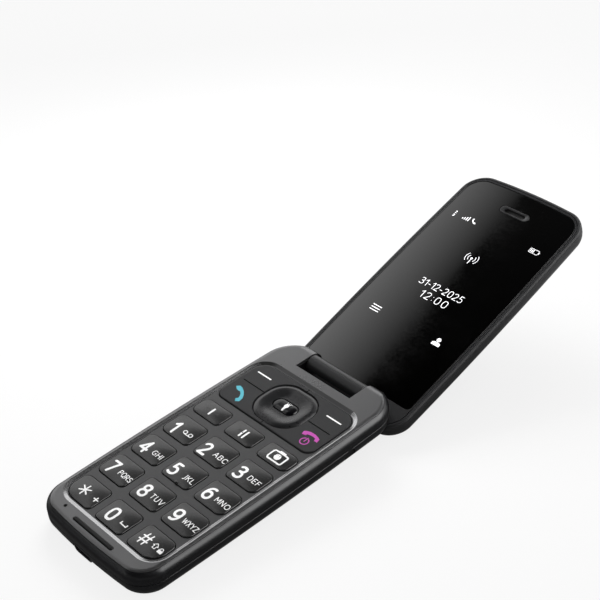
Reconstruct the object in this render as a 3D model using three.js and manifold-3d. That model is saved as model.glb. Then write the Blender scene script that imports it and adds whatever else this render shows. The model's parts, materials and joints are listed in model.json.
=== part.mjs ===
// A flip phone, opened on a table. Millimetres, +Z up, +X to the right across the keypad,
// +Y from the keypad end towards the hinge and on along the opened lid. The origin lies on the
// table, under the middle of the opened phone.
import * as THREE from 'three';
import * as BufferGeometryUtils from 'three/addons/utils/BufferGeometryUtils.js';
import Module from 'manifold-3d';

const wasm = await Module();
wasm.setup();

// Casing: both halves share one crowned, rounded outline. The base is rounder beside the hinge.
const casing_width = 54;
const casing_length = 110;
const casing_corner = 8.6;
const hinge_corner = 11.5;
const side_bulge = 0.8;
const end_crown = 1.5;

// Base half.
const base_thickness = 10;
const base_top_round = 3;
const base_back_round = 4.5;
const cover_height = 5.5;
const cover_wall = 1.1;
const seam = 0.2;
const cover_lip = 0.5;
const part_gap = 0.3;
const fine_gap = 0.15;

// Lid half and the hinge between them.
const lid_thickness = 7.8;
const lid_rim_round = 1.2;
const lid_outer_round = 5;
const lid_wall = 1.2;
const closed_gap = 0.65;
const opening_degrees = 162.2;
const shoulder_width = 14.3;
const notch_depth = 7.15;
const notch_wall = 1.1;
const knuckle_share = 0.6;
const frame_strip = 0.57;
const knuckle_gap = 0.35;
const hinge_shoulder_wall = 1.2;
const hinge_corner_share = 0.76;
const hinge_pin_radius = 1.1;
const hinge_pin_entry = 3.4;

// Front plate: a metal-look fascia with a sunk deck that the keys come through.
const plate_inset = 1.7;
const plate_thickness = 1.25;
const deck_drop = 0.55;
const rim_run = 1.05;
const deck_corner = 5.8;
const keypad_inset = 8.25;
const keypad_side_inset = 4.2;
const keypad_hinge_offset = 12.05;
const mic_radius = 0.6;
const mic_boss_gap = 0.5;
const mic_inset = 5.2;

// Keys. Widths and heights are those of the holes.
const key_clearance = 0.3;
const deck_margin = 0.35;
const column_web = 2.55;
const row_web = 2.53;
const middle_key_width = 13;
const memory_key_height = 7.9;
const key_corner = 1.8;
const outer_key_corner = 2.6;
const smallest_corner = 0.4;
const key_lip = 0.4;
const key_lip_thickness = 0.4;
const key_travel = 0.35;
const key_rise = 0.12;
const key_edge_height = 0.4;
const key_shoulder = 2.4;

// The block of function keys round the direction ring.
const function_block_height = 22.6;
const function_block_corner = 3.4;
const function_key_drop = 0.1;
const function_key_round = 0.35;
const groove_width = 0.45;
const groove_depth = 0.4;
const groove_land = 2;
const split_gap = 0.3;
const ring_width = 20.6;
const ring_height = 19;
const ring_corner = 8;
const ring_band = 1.9;
const ring_rise = 0.2;
const ring_edge_drop = 0.25;
const ring_dish_drop = 0.55;
const ok_width = 9.6;
const ok_height = 5;
const ok_corner = 2.4;
const ok_round = 0.9;
const ok_top_share = 0.8;

// Inside the base.
const mat_thickness = 0.3;
const board_thickness = 0.8;
const floor_thickness = 0.7;
const housing_ledge = 2.6;
const battery_side_inset = 9;
const battery_hinge_offset = 34;
const battery_corner = 2;
const bay_wall = 0.8;
const screw_radius = 0.6;
const screw_head_radius = 1.4;
const screw_head_height = 0.8;
const boss_radius = 1.8;
const boss_side_inset = 8;
const boss_keypad_margin = 2.15;
const boss_hinge_offset = 6;
const socket_width = 9;
const socket_height = 3.2;
const socket_depth = 7;
const socket_x = -2;
const socket_seat = 0.2;
const socket_wall = 0.35;
const socket_tongue = 0.7;
const speaker_radius = 6.8;
const speaker_end_margin = 1.3;
const speaker_bay_gap = 0.6;
const speaker_board_gap = 1.7;
const speaker_hole_radius = 0.6;
const speaker_hole_pitch = 2.4;
const motor_radius = 4;
const motor_board_gap = 1.5;
const sim_width = 26;
const sim_length = 15;
const sim_thickness = 1.6;
const sim_x = -7;
const sim_bay_gap = 3.1;
const sim_slot_height = 0.8;
const pry_width = 4.7;
const pry_hinge_offset = 21;
const pry_depth = 0.9;

// The rubber strip that keeps the closed lid off the keys.
const bumper_length = 19;
const bumper_width = 1.3;
const bumper_height = 0.4;
const bumper_seat = 0.45;
const bumper_inset = 4.1;

// Lid front.
const glass_side_margin = 0.6;
const glass_end_margin = 1;
const glass_hinge_offset = 6.8;
const glass_near_corner = 1.8;
const glass_thickness = 1.1;
const glass_drop = 0.1;
const frame_depth = 3.2;
const earpiece_inset = 11.35;
const earpiece_width = 13;
const earpiece_height = 3.6;
const earpiece_slot_width = 9;
const earpiece_slot_height = 1.9;
const earpiece_rim_drop = 0.35;
const receiver_width = 12;
const receiver_height = 6;
const lcd_side_margin = 2.7;
const lcd_receiver_gap = 2.1;
const lcd_thickness = 2;
const lcd_hinge_offset = 28.5;
const lid_board_margin = 2;

// Camera window on the outside of the lid.
const window_width = 12.2;
const window_length = 21.3;
const window_hinge_inset = 22.1;
const window_thickness = 1;
const trim_width = 0.85;
const trim_rise = 0.15;
const lens_pitch = 9.15;
const lens_ring_radius = 3.55;
const lens_ring_bore = 2.87;
const lens_ring_rise = 0.12;
const lens_drop = 0.15;
const flash_radius = 1.6;
const camera_block = 8.4;
const flex_width = 12;
const flex_thickness = 0.25;

// Smoothness of the curves.
const corner_steps = 6;
const side_steps = 4;
const end_steps = 4;
const round_steps = 4;
const inner_round_steps = 2;
const key_corner_steps = 3;
const circle_sides = 20;

// Places worked out from the sizes above. The base is drawn with the hinge line at y = 0 and
// its back at z = 0. The lid is drawn closed, with the hinge line at y = 0 and z = 0.
const half_width = casing_width / 2;
const half_length = casing_length / 2;
const hinge_height = base_thickness / 2;
const hinge_end = hinge_height;
const key_end = hinge_end - casing_length;
const middle_y = (hinge_end + key_end) / 2;
const overrun = casing_length + casing_width;
const plate_bottom = base_thickness - plate_thickness;
const deck_top = base_thickness - deck_drop;
const lip_top = plate_bottom - part_gap;
const lip_bottom = lip_top - key_lip_thickness;
const mat_top = lip_bottom - key_travel - seam / 2;
const mat_bottom = mat_top - mat_thickness;
const board_top = mat_bottom - part_gap;
const board_bottom = board_top - board_thickness;
const floor_top = board_bottom - part_gap;
const floor_bottom = floor_top - floor_thickness;
const rim_bottom = cover_height + seam;
const keypad_floor_y = key_end + keypad_inset;
const notch_width = casing_width - 2 * shoulder_width;
const knuckle_radius = knuckle_share * hinge_height;
const knuckle_reach = hinge_height - fine_gap;
const knuckle_offset = knuckle_radius + part_gap + frame_strip + plate_inset - hinge_end;
const knuckle_sweep = Math.hypot(knuckle_offset, knuckle_reach - knuckle_radius) + knuckle_radius;
const lid_face = base_thickness + closed_gap - hinge_height;
const lid_back = lid_face + lid_thickness;
const window_y = hinge_end - window_hinge_inset;
const keypad_top_y = -keypad_hinge_offset;
const keypad_y = (keypad_floor_y + keypad_top_y) / 2;
const keypad_half_height = (keypad_top_y - keypad_floor_y) / 2;
const keypad_half_width = half_width - keypad_side_inset;
const outer_key_width = keypad_half_width - deck_margin - column_web - middle_key_width / 2;
const outer_column_x = (middle_key_width + outer_key_width) / 2 + column_web;
const function_block_top = keypad_top_y - deck_margin;
const function_block_bottom = function_block_top - function_block_height;
const function_block_y = (function_block_bottom + function_block_top) / 2;
const memory_row_y = function_block_bottom - column_web - memory_key_height / 2;
const number_block_top = memory_row_y - memory_key_height / 2 - column_web;
const number_key_height = (number_block_top - keypad_floor_y - deck_margin - 3 * row_web) / 4;
const first_row_y = number_block_top - number_key_height / 2;
const hinge_reach = half_width - hinge_corner_share * hinge_corner;
const hinge_module_radius = hinge_height - cover_wall - 2 * part_gap - hinge_shoulder_wall;
const battery_width = casing_width - 2 * battery_side_inset;
const boss_x = half_width - boss_side_inset;
const boss_end_inset = keypad_inset - boss_keypad_margin;
const speaker_x = socket_x + socket_width / 2 + speaker_board_gap + speaker_radius;
const speaker_screw_reach = speaker_radius + screw_head_radius + part_gap;
const speaker_screw_run = Math.sqrt(Math.max(speaker_screw_reach ** 2 - (boss_x - speaker_x) ** 2, 0));
const speaker_inset = Math.max(
  speaker_radius + base_back_round + speaker_end_margin, boss_end_inset + speaker_screw_run);
const battery_inset = speaker_inset + speaker_radius + speaker_bay_gap + bay_wall;
const battery_length = -battery_hinge_offset - key_end - battery_inset;
const battery_y = key_end + battery_inset + battery_length / 2;
const sim_y = -battery_hinge_offset + part_gap + bay_wall + sim_bay_gap + sim_length / 2;
const socket_rise = cover_wall + socket_seat + socket_height / 2;
const mic_x = boss_radius + 2 * mic_radius + mic_boss_gap - boss_x;
const motor_x = socket_x - socket_width / 2 - motor_board_gap - motor_radius;
const glass_side_inset = plate_inset + glass_side_margin;
const glass_half_width = half_width - glass_side_inset;
const glass_far_corner = casing_corner - glass_side_inset;
const earpiece_y = key_end + earpiece_inset;
const lcd_width = 2 * (glass_half_width - lcd_side_margin);
const lcd_length = -lcd_hinge_offset - earpiece_y - receiver_height / 2 - lcd_receiver_gap;
const lcd_y = -lcd_hinge_offset - lcd_length / 2;
const black = 0x1c1c1e;

function outline(half_x, half_y, radii, steps = key_corner_steps, along = 1, across = 1) {
  // Counter-clockwise rounded rectangle. The radii go from the right front corner round.
  const signs = [[1, -1], [1, 1], [-1, 1], [-1, -1]];
  const points = [];
  signs.forEach(([sx, sy], corner) => {
    const radius = Math.min(radii[corner], half_x, half_y);
    const centre = new THREE.Vector2(sx * (half_x - radius), sy * (half_y - radius));
    const start = (corner - 1) * Math.PI / 2;
    for (let step = 0; step <= steps; step += 1) {
      const angle = start + step / steps * Math.PI / 2;
      const spoke = new THREE.Vector2(Math.cos(angle), Math.sin(angle)).multiplyScalar(radius);
      points.push(spoke.add(centre));
    }
    const [nx, ny] = signs[(corner + 1) % 4];
    const next = Math.min(radii[(corner + 1) % 4], half_x, half_y);
    const from = points[points.length - 1].clone();
    const to = corner % 2 === 0
      ? new THREE.Vector2(nx * half_x, ny * (half_y - next))
      : new THREE.Vector2(nx * (half_x - next), ny * half_y);
    const pieces = corner % 2 === 0 ? along : across;
    for (let piece = 1; piece < pieces; piece += 1) {
      points.push(from.clone().lerp(to, piece / pieces));
    }
  });
  return points;
}

function pill(width, height) {
  const radius = Math.min(width, height) / 2;
  return outline(width / 2, height / 2, Array(4).fill(radius), round_steps);
}

function moved(points, x, y) {
  return points.map((point) => new THREE.Vector2(point.x + x, point.y + y));
}

function crowned(point) {
  // Bends a point of a straight-sided outline to the casing's bulged sides and crowned ends.
  return new THREE.Vector2(
    point.x * (1 - side_bulge / half_width * (point.y / half_length) ** 2),
    point.y * (1 - end_crown / half_length * (point.x / half_width) ** 2) + middle_y);
}

function casing_outline(inset, beside_hinge = hinge_corner) {
  // The crowned outline of either half, drawn in evenly on all sides.
  const radii = [casing_corner, beside_hinge, beside_hinge, casing_corner].map((radius) => radius - inset);
  return outline(half_width - inset, half_length - inset, radii, corner_steps, side_steps, end_steps)
    .map(crowned);
}

function solid_of(geometry) {
  geometry.deleteAttribute('normal');
  geometry.deleteAttribute('uv');
  const welded = BufferGeometryUtils.mergeVertices(geometry);
  return new wasm.Manifold(new wasm.Mesh({
    numProp: 3,
    vertProperties: new Float32Array(welded.attributes.position.array),
    triVerts: new Uint32Array(welded.index.array),
  }));
}

function prism(points, low, high) {
  const shape = new THREE.Shape(points);
  const geometry = new THREE.ExtrudeGeometry(shape, { depth: high - low, bevelEnabled: false });
  return solid_of(geometry.translate(0, 0, low));
}

function cross_prism(points, left, right) {
  // A side profile, drawn as (y, z), carried along X.
  const shape = new THREE.Shape(points);
  const geometry = new THREE.ExtrudeGeometry(shape, { depth: right - left, bevelEnabled: false });
  const turn = new THREE.Matrix4().makeBasis(
    new THREE.Vector3(0, 1, 0), new THREE.Vector3(0, 0, 1), new THREE.Vector3(1, 0, 0));
  return solid_of(geometry.applyMatrix4(turn).translate(left, 0, 0));
}

function loft(rings) {
  // Skins rings of equal point counts, lowest first, and closes both ends.
  const count = rings[0].points.length;
  const places = rings.flatMap((ring) => ring.points.flatMap((point) => [point.x, point.y, ring.z]));
  const faces = [];
  for (let ring = 0; ring < rings.length - 1; ring += 1) {
    for (let point = 0; point < count; point += 1) {
      const a = ring * count + point;
      const b = ring * count + (point + 1) % count;
      faces.push(a, b, b + count, a, b + count, a + count);
    }
  }
  const last = (rings.length - 1) * count;
  for (const [a, b, c] of THREE.ShapeUtils.triangulateShape(rings[0].points, [])) {
    faces.push(a, c, b);
  }
  for (const [a, b, c] of THREE.ShapeUtils.triangulateShape(rings[rings.length - 1].points, [])) {
    faces.push(last + a, last + b, last + c);
  }
  const geometry = new THREE.BufferGeometry();
  geometry.setAttribute('position', new THREE.Float32BufferAttribute(places, 3));
  geometry.setIndex(faces);
  return solid_of(geometry);
}

function slab(x, y, low, high) {
  const geometry = new THREE.BoxGeometry(x[1] - x[0], y[1] - y[0], high - low);
  return solid_of(geometry.translate((x[0] + x[1]) / 2, (y[0] + y[1]) / 2, (low + high) / 2));
}

function post(x, y, radius, low, high, sides = circle_sides) {
  const geometry = new THREE.CylinderGeometry(radius, radius, high - low, sides);
  return solid_of(geometry.rotateX(Math.PI / 2).translate(x, y, (low + high) / 2));
}

function cross_post(radius, left, right, height, y = 0) {
  const geometry = new THREE.CylinderGeometry(radius, radius, right - left, circle_sides);
  return solid_of(geometry.rotateZ(Math.PI / 2).translate((left + right) / 2, y, height));
}

function quarter(radius, steps = round_steps) {
  // A quarter round as steps inwards and upwards, from its flat end to its upright end.
  return Array.from({ length: steps + 1 }, (_, step) => {
    const angle = step / steps * Math.PI / 2;
    return { inset: radius * (1 - Math.sin(angle)), rise: radius * (1 - Math.cos(angle)) };
  });
}

function rounded_casing(wall, low, high, low_round, high_round, beside_hinge) {
  // The casing outline with its lower and upper edges rounded, drawn in by a wall.
  const steps = wall > 0 ? inner_round_steps : round_steps;
  const lower = quarter(low_round - wall, steps).map(({ inset, rise }) => (
    { points: casing_outline(wall + inset, beside_hinge), z: low + wall + rise }));
  const upper = quarter(high_round - wall, steps).reverse().map(({ inset, rise }) => (
    { points: casing_outline(wall + inset, beside_hinge), z: high - wall - rise }));
  return loft([...lower, ...upper]);
}

function end_profile(radius, top) {
  // Side view of the base: straight up to the hinge line, then a half round about it.
  const points = [];
  const turns = 2 * round_steps;
  for (let step = 0; step <= turns; step += 1) {
    const angle = -Math.PI / 2 + step / turns * Math.PI;
    points.push(new THREE.Vector2(radius * Math.cos(angle), hinge_height + radius * Math.sin(angle)));
  }
  points.push(new THREE.Vector2(key_end - overrun, top));
  points.push(new THREE.Vector2(key_end - overrun, 2 * hinge_height - top));
  return cross_prism(points, -overrun, overrun);
}

function base_body(wall = 0) {
  const skin = rounded_casing(wall, 0, base_thickness, base_back_round, base_top_round, hinge_corner);
  return skin.intersect(end_profile(hinge_height - wall, base_thickness - wall));
}

function notch_room(extra) {
  const half = notch_width / 2 + extra;
  return slab([-half, half], [-notch_depth - extra, overrun], -overrun, overrun);
}

function notch_sill() {
  // Closes the notch from below in front of the knuckle, hollowed out along the knuckle's sweep.
  return notch_room(0)
    .intersect(slab([-overrun, overrun], [-overrun, -knuckle_radius - part_gap], -overrun, hinge_height))
    .subtract(cross_post(knuckle_sweep + part_gap, -overrun, overrun, hinge_height));
}

function under_plate(gap) {
  // Everything below the plate: flat under the keypad, round under the hinge shoulders.
  return end_profile(hinge_height - plate_thickness - gap, plate_bottom - gap);
}

function hole_outline(hole, grow) {
  const radii = hole.radii.map((radius) => Math.max(radius + grow, smallest_corner));
  const plain = outline(hole.width / 2 + grow, hole.height / 2 + grow, radii);
  return moved(plain, hole.x, hole.y);
}

function key_hole(name, column, y, height, last_row) {
  // The outer columns have rounder outer corners; those of the last row follow the deck.
  const width = column === 0 ? middle_key_width : outer_key_width;
  const outer = last_row ? deck_corner - deck_margin : outer_key_corner;
  const right = column > 0 ? outer_key_corner : key_corner;
  const left = column < 0 ? outer_key_corner : key_corner;
  const radii = [column > 0 ? outer : key_corner, right, left, column < 0 ? outer : key_corner];
  return { name, x: column * outer_column_x, y, width, height, radii };
}

const number_keys = ['1', '2', '3', '4', '5', '6', '7', '8', '9', 'star', '0', 'hash'];
const memory_keys = ['memory_key_1', 'memory_key_2', 'camera_key'];
const key_holes = [
  ...memory_keys.map((name, index) => key_hole(name, index - 1, memory_row_y, memory_key_height, false)),
  ...number_keys.map((label, index) => {
    const row = Math.floor(index / 3);
    const y = first_row_y - row * (number_key_height + row_web);
    return key_hole(`key_${label}`, index % 3 - 1, y, number_key_height, row === 3);
  }),
];

const function_hole = {
  x: 0,
  y: function_block_y,
  width: 2 * (keypad_half_width - deck_margin),
  height: function_block_height,
  radii: [function_block_corner, deck_corner - deck_margin, deck_corner - deck_margin, function_block_corner],
};

function boss_places() {
  return [
    [-boss_x, key_end + boss_end_inset],
    [boss_x, key_end + boss_end_inset],
    [-boss_x, -boss_hinge_offset],
    [boss_x, -boss_hinge_offset],
  ];
}

function keypad_pocket() {
  // The sunk deck, whose rim rolls over from the plate's face.
  const rings = quarter(1).reverse().map(({ inset, rise }) => {
    const grow = rim_run * (1 - inset);
    const level = base_thickness - deck_drop * rise;
    return { grow: rim_run - grow, level };
  });
  const lofted = rings.map(({ grow, level }) => ({
    points: moved(outline(keypad_half_width + grow, keypad_half_height + grow,
      Array(4).fill(deck_corner + grow), corner_steps), 0, keypad_y),
    z: level,
  }));
  const top = lofted[lofted.length - 1];
  return loft([...lofted, { points: top.points, z: base_thickness + deck_drop }]);
}

function front_plate() {
  let plate = base_body()
    .intersect(prism(casing_outline(plate_inset), hinge_height, overrun))
    .subtract(under_plate(0))
    .subtract(notch_room(0))
    .subtract(keypad_pocket())
    .subtract(prism(hole_outline(function_hole, 0), 0, overrun))
    .subtract(post(mic_x, key_end + mic_inset, mic_radius, 0, overrun, circle_sides / 2))
    .subtract(prism(bumper_outline(fine_gap), base_thickness - bumper_seat - fine_gap, overrun));
  for (const hole of key_holes) {
    plate = plate.subtract(prism(hole_outline(hole, 0), 0, overrun));
  }
  for (const [x, y] of boss_places()) {
    plate = plate.add(post(x, y, boss_radius, board_bottom, plate_bottom + fine_gap, circle_sides / 2));
    plate = plate.subtract(post(x, y, screw_radius + fine_gap, 0, plate_bottom, circle_sides / 2));
  }
  return plate;
}

function housing_inside() {
  // What lies inside the back cover: the floor, solid hinge shoulders and the battery bay.
  const bay = moved(outline(battery_width / 2 + part_gap + bay_wall, battery_length / 2 + part_gap + bay_wall,
    Array(4).fill(battery_corner)), 0, battery_y);
  const shoulders = slab([-overrun, overrun], [-notch_depth, overrun], 0, floor_top);
  const lip = [Math.min(floor_bottom, rim_bottom - cover_lip), Math.max(floor_top, rim_bottom + cover_lip)];
  const floor = slab([-overrun, overrun], [-overrun, overrun], floor_bottom, floor_top);
  return base_body(cover_wall + part_gap)
    .intersect(slab([-overrun, overrun], [-overrun, overrun], ...lip)
      .subtract(prism(casing_outline(housing_ledge), 0, overrun))
      .add(floor)
      .add(shoulders)
      .add(prism(bay, 0, floor_top)));
}

function base_housing() {
  // The black middle frame: the rim below the plate, a floor, the battery bay and the hinge.
  const bay_room = moved(outline(battery_width / 2 + part_gap, battery_length / 2 + part_gap,
    Array(4).fill(battery_corner)), 0, battery_y);
  const plate_room = prism(casing_outline(plate_inset - fine_gap), hinge_height, overrun)
    .subtract(under_plate(part_gap));
  const board_room = prism(casing_outline(housing_ledge), floor_top, overrun)
    .subtract(slab([-overrun, overrun], [-notch_depth - notch_wall - seam, overrun], 0, overrun));
  const rim = slab([-overrun, overrun], [-overrun, overrun], rim_bottom, overrun);
  let housing = base_body()
    .intersect(rim.subtract(prism(casing_outline(housing_ledge), 0, floor_bottom)).add(notch_room(notch_wall)))
    .add(housing_inside())
    .subtract(end_prism(socket_outline(part_gap), key_end, key_end + cover_wall / 2 + socket_depth + part_gap))
    .subtract(prism(bay_room, 0, floor_bottom))
    .subtract(plate_room)
    .subtract(board_room)
    .subtract(notch_room(0).subtract(notch_sill()))
    .subtract(hinge_bores());
  for (const [x, y] of boss_places()) {
    housing = housing
      .subtract(post(x, y, boss_radius + part_gap, floor_top, overrun, circle_sides / 2))
      .subtract(post(x, y, screw_radius + part_gap, 0, overrun, circle_sides / 2))
      .subtract(post(x, y, screw_head_radius + part_gap, 0, floor_bottom, circle_sides / 2));
  }
  return housing;
}

function hinge_bores() {
  const inner = notch_width / 2;
  return cross_post(hinge_module_radius + part_gap, -hinge_reach, -inner - notch_wall, hinge_height)
    .add(cross_post(hinge_pin_radius + part_gap, -hinge_reach, hinge_reach, hinge_height));
}

function socket_outline(grow) {
  const plain = pill(socket_width + 2 * grow, socket_height + 2 * grow);
  return plain.map((point) => new THREE.Vector2(point.x + socket_x, point.y + socket_rise));
}

function end_prism(points, front, back) {
  // A shape drawn as (x, z) on the end face, carried along Y.
  const shape = new THREE.Shape(points);
  const geometry = new THREE.ExtrudeGeometry(shape, { depth: back - front, bevelEnabled: false });
  return solid_of(geometry.rotateX(Math.PI / 2).translate(0, back, 0));
}

function battery_cover() {
  // The whole black back: a deep tray with the socket opening, the nail notch and the sound holes.
  const room = base_body(cover_wall);
  const top = slab([-overrun, overrun], [-overrun, overrun], cover_height, overrun);
  let cover = base_body()
    .subtract(room)
    .subtract(top)
    .subtract(notch_room(notch_wall + seam))
    .subtract(end_prism(socket_outline(part_gap), key_end - overrun, key_end + base_back_round))
    .subtract(pry_notch());
  for (let hole = -2; hole <= 2; hole += 1) {
    const x = speaker_x + hole * speaker_hole_pitch;
    const y = key_end + speaker_inset;
    cover = cover.subtract(post(x, y, speaker_hole_radius, -overrun, cover_wall + fine_gap, circle_sides / 3));
  }
  return cover;
}

function pry_notch() {
  // A round-topped thumbnail notch in the right-hand wall, open into the seam.
  const outer = new THREE.Shape();
  outer.absarc(0, rim_bottom - pry_width / 2, pry_width / 2, 0, Math.PI);
  outer.lineTo(-pry_width / 2, -overrun);
  outer.lineTo(pry_width / 2, -overrun);
  const points = outer.getPoints(round_steps);
  const place = moved(points, -pry_hinge_offset, 0);
  return cross_prism(place, half_width - pry_depth, half_width + overrun);
}

function bumper_outline(grow) {
  return moved(pill(bumper_length + 2 * grow, bumper_width + 2 * grow), 0, key_end + bumper_inset);
}

function rest_bumper() {
  const crown = quarter(bumper_height / 2).reverse();
  const rings = crown.slice(0, 3).map(({ inset, rise }) => (
    { points: bumper_outline(-inset), z: base_thickness + bumper_height - rise }));
  return loft([{ points: bumper_outline(0), z: base_thickness - bumper_seat }, ...rings]);
}

function pillow_key(hole) {
  // A key with a retaining lip under the deck and a softly domed top.
  const lip = hole_outline(hole, key_lip);
  const body = hole_outline(hole, -key_clearance);
  const peak = base_thickness + key_rise;
  const edge = deck_top + key_edge_height - part_gap;
  const dome_shares = [[0.1, 0.6], [1, 1]];
  const dome = dome_shares.map(([inset_share, rise_share]) => ({
    points: hole_outline(hole, -key_clearance - key_shoulder * inset_share),
    z: edge + (peak - edge) * rise_share,
  }));
  return loft([
    { points: lip, z: lip_bottom },
    { points: lip, z: lip_top },
    { points: body, z: lip_top + fine_gap / 2 },
    { points: body, z: edge },
    ...dome,
  ]);
}

function ring_outline(grow) {
  const plain = outline(ring_width / 2 + grow, ring_height / 2 + grow,
    Array(4).fill(ring_corner + grow), corner_steps);
  return moved(plain, 0, function_block_y);
}

function ok_outline(grow) {
  const radius = Math.max(ok_corner + grow, fine_gap);
  const plain = outline(ok_width / 2 + grow, ok_height / 2 + grow, Array(4).fill(radius), corner_steps);
  return moved(plain, 0, function_block_y);
}

function function_key(side) {
  // One of the two rocking keys beside the ring: upper end soft key, lower end call key.
  const top = base_thickness - function_key_drop;
  const lip = prism(hole_outline(function_hole, key_lip), lip_bottom, lip_top);
  const body = loft([
    { points: hole_outline(function_hole, -key_clearance), z: lip_bottom },
    { points: hole_outline(function_hole, -key_clearance), z: top - function_key_round },
    { points: hole_outline(function_hole, -key_clearance - function_key_round / 3), z: top - function_key_round / 3 },
    { points: hole_outline(function_hole, -key_clearance - function_key_round), z: top },
  ]);
  const far = keypad_half_width;
  const groove_reach = [ring_width / 2 - ring_band, far - deck_margin - groove_land];
  const groove = moved(pill(groove_reach[1] - groove_reach[0], groove_width),
    side * (groove_reach[0] + groove_reach[1]) / 2, function_block_y);
  const across = [side * split_gap / 2, side * (far + overrun)].sort((a, b) => a - b);
  return body
    .add(lip)
    .subtract(prism(ring_outline(key_clearance / 2), 0, overrun))
    .subtract(prism(groove, top - groove_depth, overrun))
    .intersect(slab(across, [-casing_length, casing_length], 0, overrun));
}

function ring_room(points, low) {
  return prism(points, low, overrun);
}

function nav_ring() {
  // The direction ring: a flat band, a low ridge, and a dish round the middle key.
  const peak = base_thickness + ring_rise;
  const edge = base_thickness - ring_edge_drop;
  const outer = loft([
    { points: ring_outline(-key_clearance / 2), z: plate_bottom },
    { points: ring_outline(-key_clearance / 2), z: edge - fine_gap },
    { points: ring_outline(-key_clearance), z: edge },
    { points: ring_outline(-ring_band), z: peak },
  ]);
  const dish_depth_shares = [[1, 1], [0.62, 0.8], [0.3, 0.45], [0.1, 0.16], [0, 0]];
  const dish_run = (ring_height - ok_height) / 2 - ring_band - part_gap;
  const dish = dish_depth_shares.map(([run_share, drop_share]) => ({
    points: ring_outline(-ring_band - fine_gap - dish_run * run_share * ring_dish_share),
    z: peak - ring_dish_drop * drop_share,
  }));
  const bowl = loft([...dish, { points: dish[dish.length - 1].points, z: peak + ring_rise }]);
  return outer.subtract(bowl).subtract(ring_room(ok_outline(part_gap), 0));
}

const ring_dish_share = 0.8;

function nav_pad() {
  return prism(ring_outline(-key_clearance - fine_gap), lip_bottom, lip_top)
    .subtract(ring_room(ok_outline(part_gap), 0));
}

function ok_key() {
  const top = base_thickness;
  return loft([
    { points: ok_outline(0), z: lip_bottom },
    { points: ok_outline(0), z: top - ok_round },
    { points: ok_outline(-ok_round / 4), z: top - ok_round / 3 },
    { points: ok_outline(-ok_round), z: top - ok_round / 9 },
    { points: ok_outline(-ok_top_share * ok_height / 2), z: top },
  ]);
}

function inner_sheet(inset, low, high) {
  const hinge_side = -notch_depth - notch_wall - seam - part_gap;
  return prism(casing_outline(inset), low, high)
    .intersect(slab([-overrun, overrun], [-casing_length, hinge_side], 0, overrun));
}

function main_board() {
  let board = inner_sheet(housing_ledge + part_gap, board_bottom, board_top);
  for (const [x, y] of boss_places()) {
    board = board.subtract(post(x, y, boss_radius + part_gap, 0, overrun, circle_sides / 2));
  }
  return board;
}

function keypad_mat() {
  const half_x = keypad_half_width - deck_margin;
  const sheet = outline(half_x, keypad_half_height, Array(4).fill(deck_corner));
  return prism(moved(sheet, 0, keypad_y), mat_bottom, mat_top);
}

function microphone() {
  return post(mic_x, key_end + mic_inset, mic_radius + mic_radius, board_top + part_gap, lip_top, circle_sides / 2);
}

function battery() {
  const shape = outline(battery_width / 2, battery_length / 2, Array(4).fill(battery_corner));
  return prism(moved(shape, 0, battery_y), cover_wall + fine_gap, floor_bottom - part_gap);
}

function usb_socket() {
  // A metal shell open at the front, with its contact tongue.
  const front = key_end + cover_wall / 2;
  const back = front + socket_depth;
  const shell = end_prism(socket_outline(0), front, back);
  const room = end_prism(socket_outline(-socket_wall), front - overrun, back - socket_wall);
  const tongue_half = socket_width / 2 - socket_height / 2;
  const tongue = slab([socket_x - tongue_half, socket_x + tongue_half], [front + socket_wall, back - socket_wall / 2],
    socket_rise - socket_tongue / 2, socket_rise + socket_tongue / 2);
  return shell.subtract(room).add(tongue);
}

function charging_board() {
  const low = cover_wall + part_gap;
  const y = [key_end + cover_wall / 2 + socket_depth + part_gap, battery_y - battery_length / 2 - bay_wall - 2 * part_gap];
  return slab([socket_x - socket_width / 2, socket_x + socket_width / 2], y, low, low + board_thickness);
}

function loudspeaker() {
  return post(speaker_x, key_end + speaker_inset, speaker_radius, cover_wall + part_gap, floor_bottom - part_gap);
}

function vibration_motor() {
  return post(motor_x, key_end + speaker_inset, motor_radius, cover_wall + part_gap, floor_bottom - part_gap);
}

function sim_holder() {
  const high = floor_bottom - part_gap;
  const low = high - sim_thickness;
  const x = [sim_x - sim_width / 2, sim_x + sim_width / 2];
  const y = [sim_y - sim_length / 2, sim_y + sim_length / 2];
  const slot_middle = (low + high) / 2;
  const wall = sim_slot_height;
  const slot = slab([x[0] - overrun, x[1] - wall], [y[0] + wall, y[1] - wall],
    slot_middle - sim_slot_height / 2, slot_middle + sim_slot_height / 2);
  return slab(x, y, low, high).subtract(slot);
}

function screw([x, y]) {
  const seat = floor_bottom - part_gap;
  const head = post(x, y, screw_head_radius, seat - screw_head_height, seat, circle_sides / 2);
  const drive = post(x, y, screw_radius, 0, seat - screw_head_height / 2, 6);
  const shank = post(x, y, screw_radius, seat - screw_head_height / 4, plate_bottom - part_gap, circle_sides / 2);
  return head.subtract(drive).add(shank);
}

function hinge_module() {
  // Sprung cam cartridge in the left shoulder, its head in the knuckle.
  const inner = notch_width / 2;
  const reach = hinge_reach - part_gap;
  return cross_post(hinge_module_radius, -reach, -inner - notch_wall - part_gap, hinge_height)
    .add(cross_post(hinge_pin_radius, -reach + part_gap, -inner + hinge_pin_entry, hinge_height));
}

function hinge_pin() {
  const inner = notch_width / 2;
  return cross_post(hinge_pin_radius, inner - hinge_pin_entry, hinge_reach - part_gap, hinge_height);
}

function lid_body(wall = 0) {
  const rim = Math.max(lid_rim_round, wall + fine_gap);
  return rounded_casing(wall, lid_face, lid_back, rim, lid_outer_round, casing_corner);
}

function lid_slab(inset, low, high) {
  return prism(casing_outline(inset, casing_corner), lid_face + low, lid_face + high);
}

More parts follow.
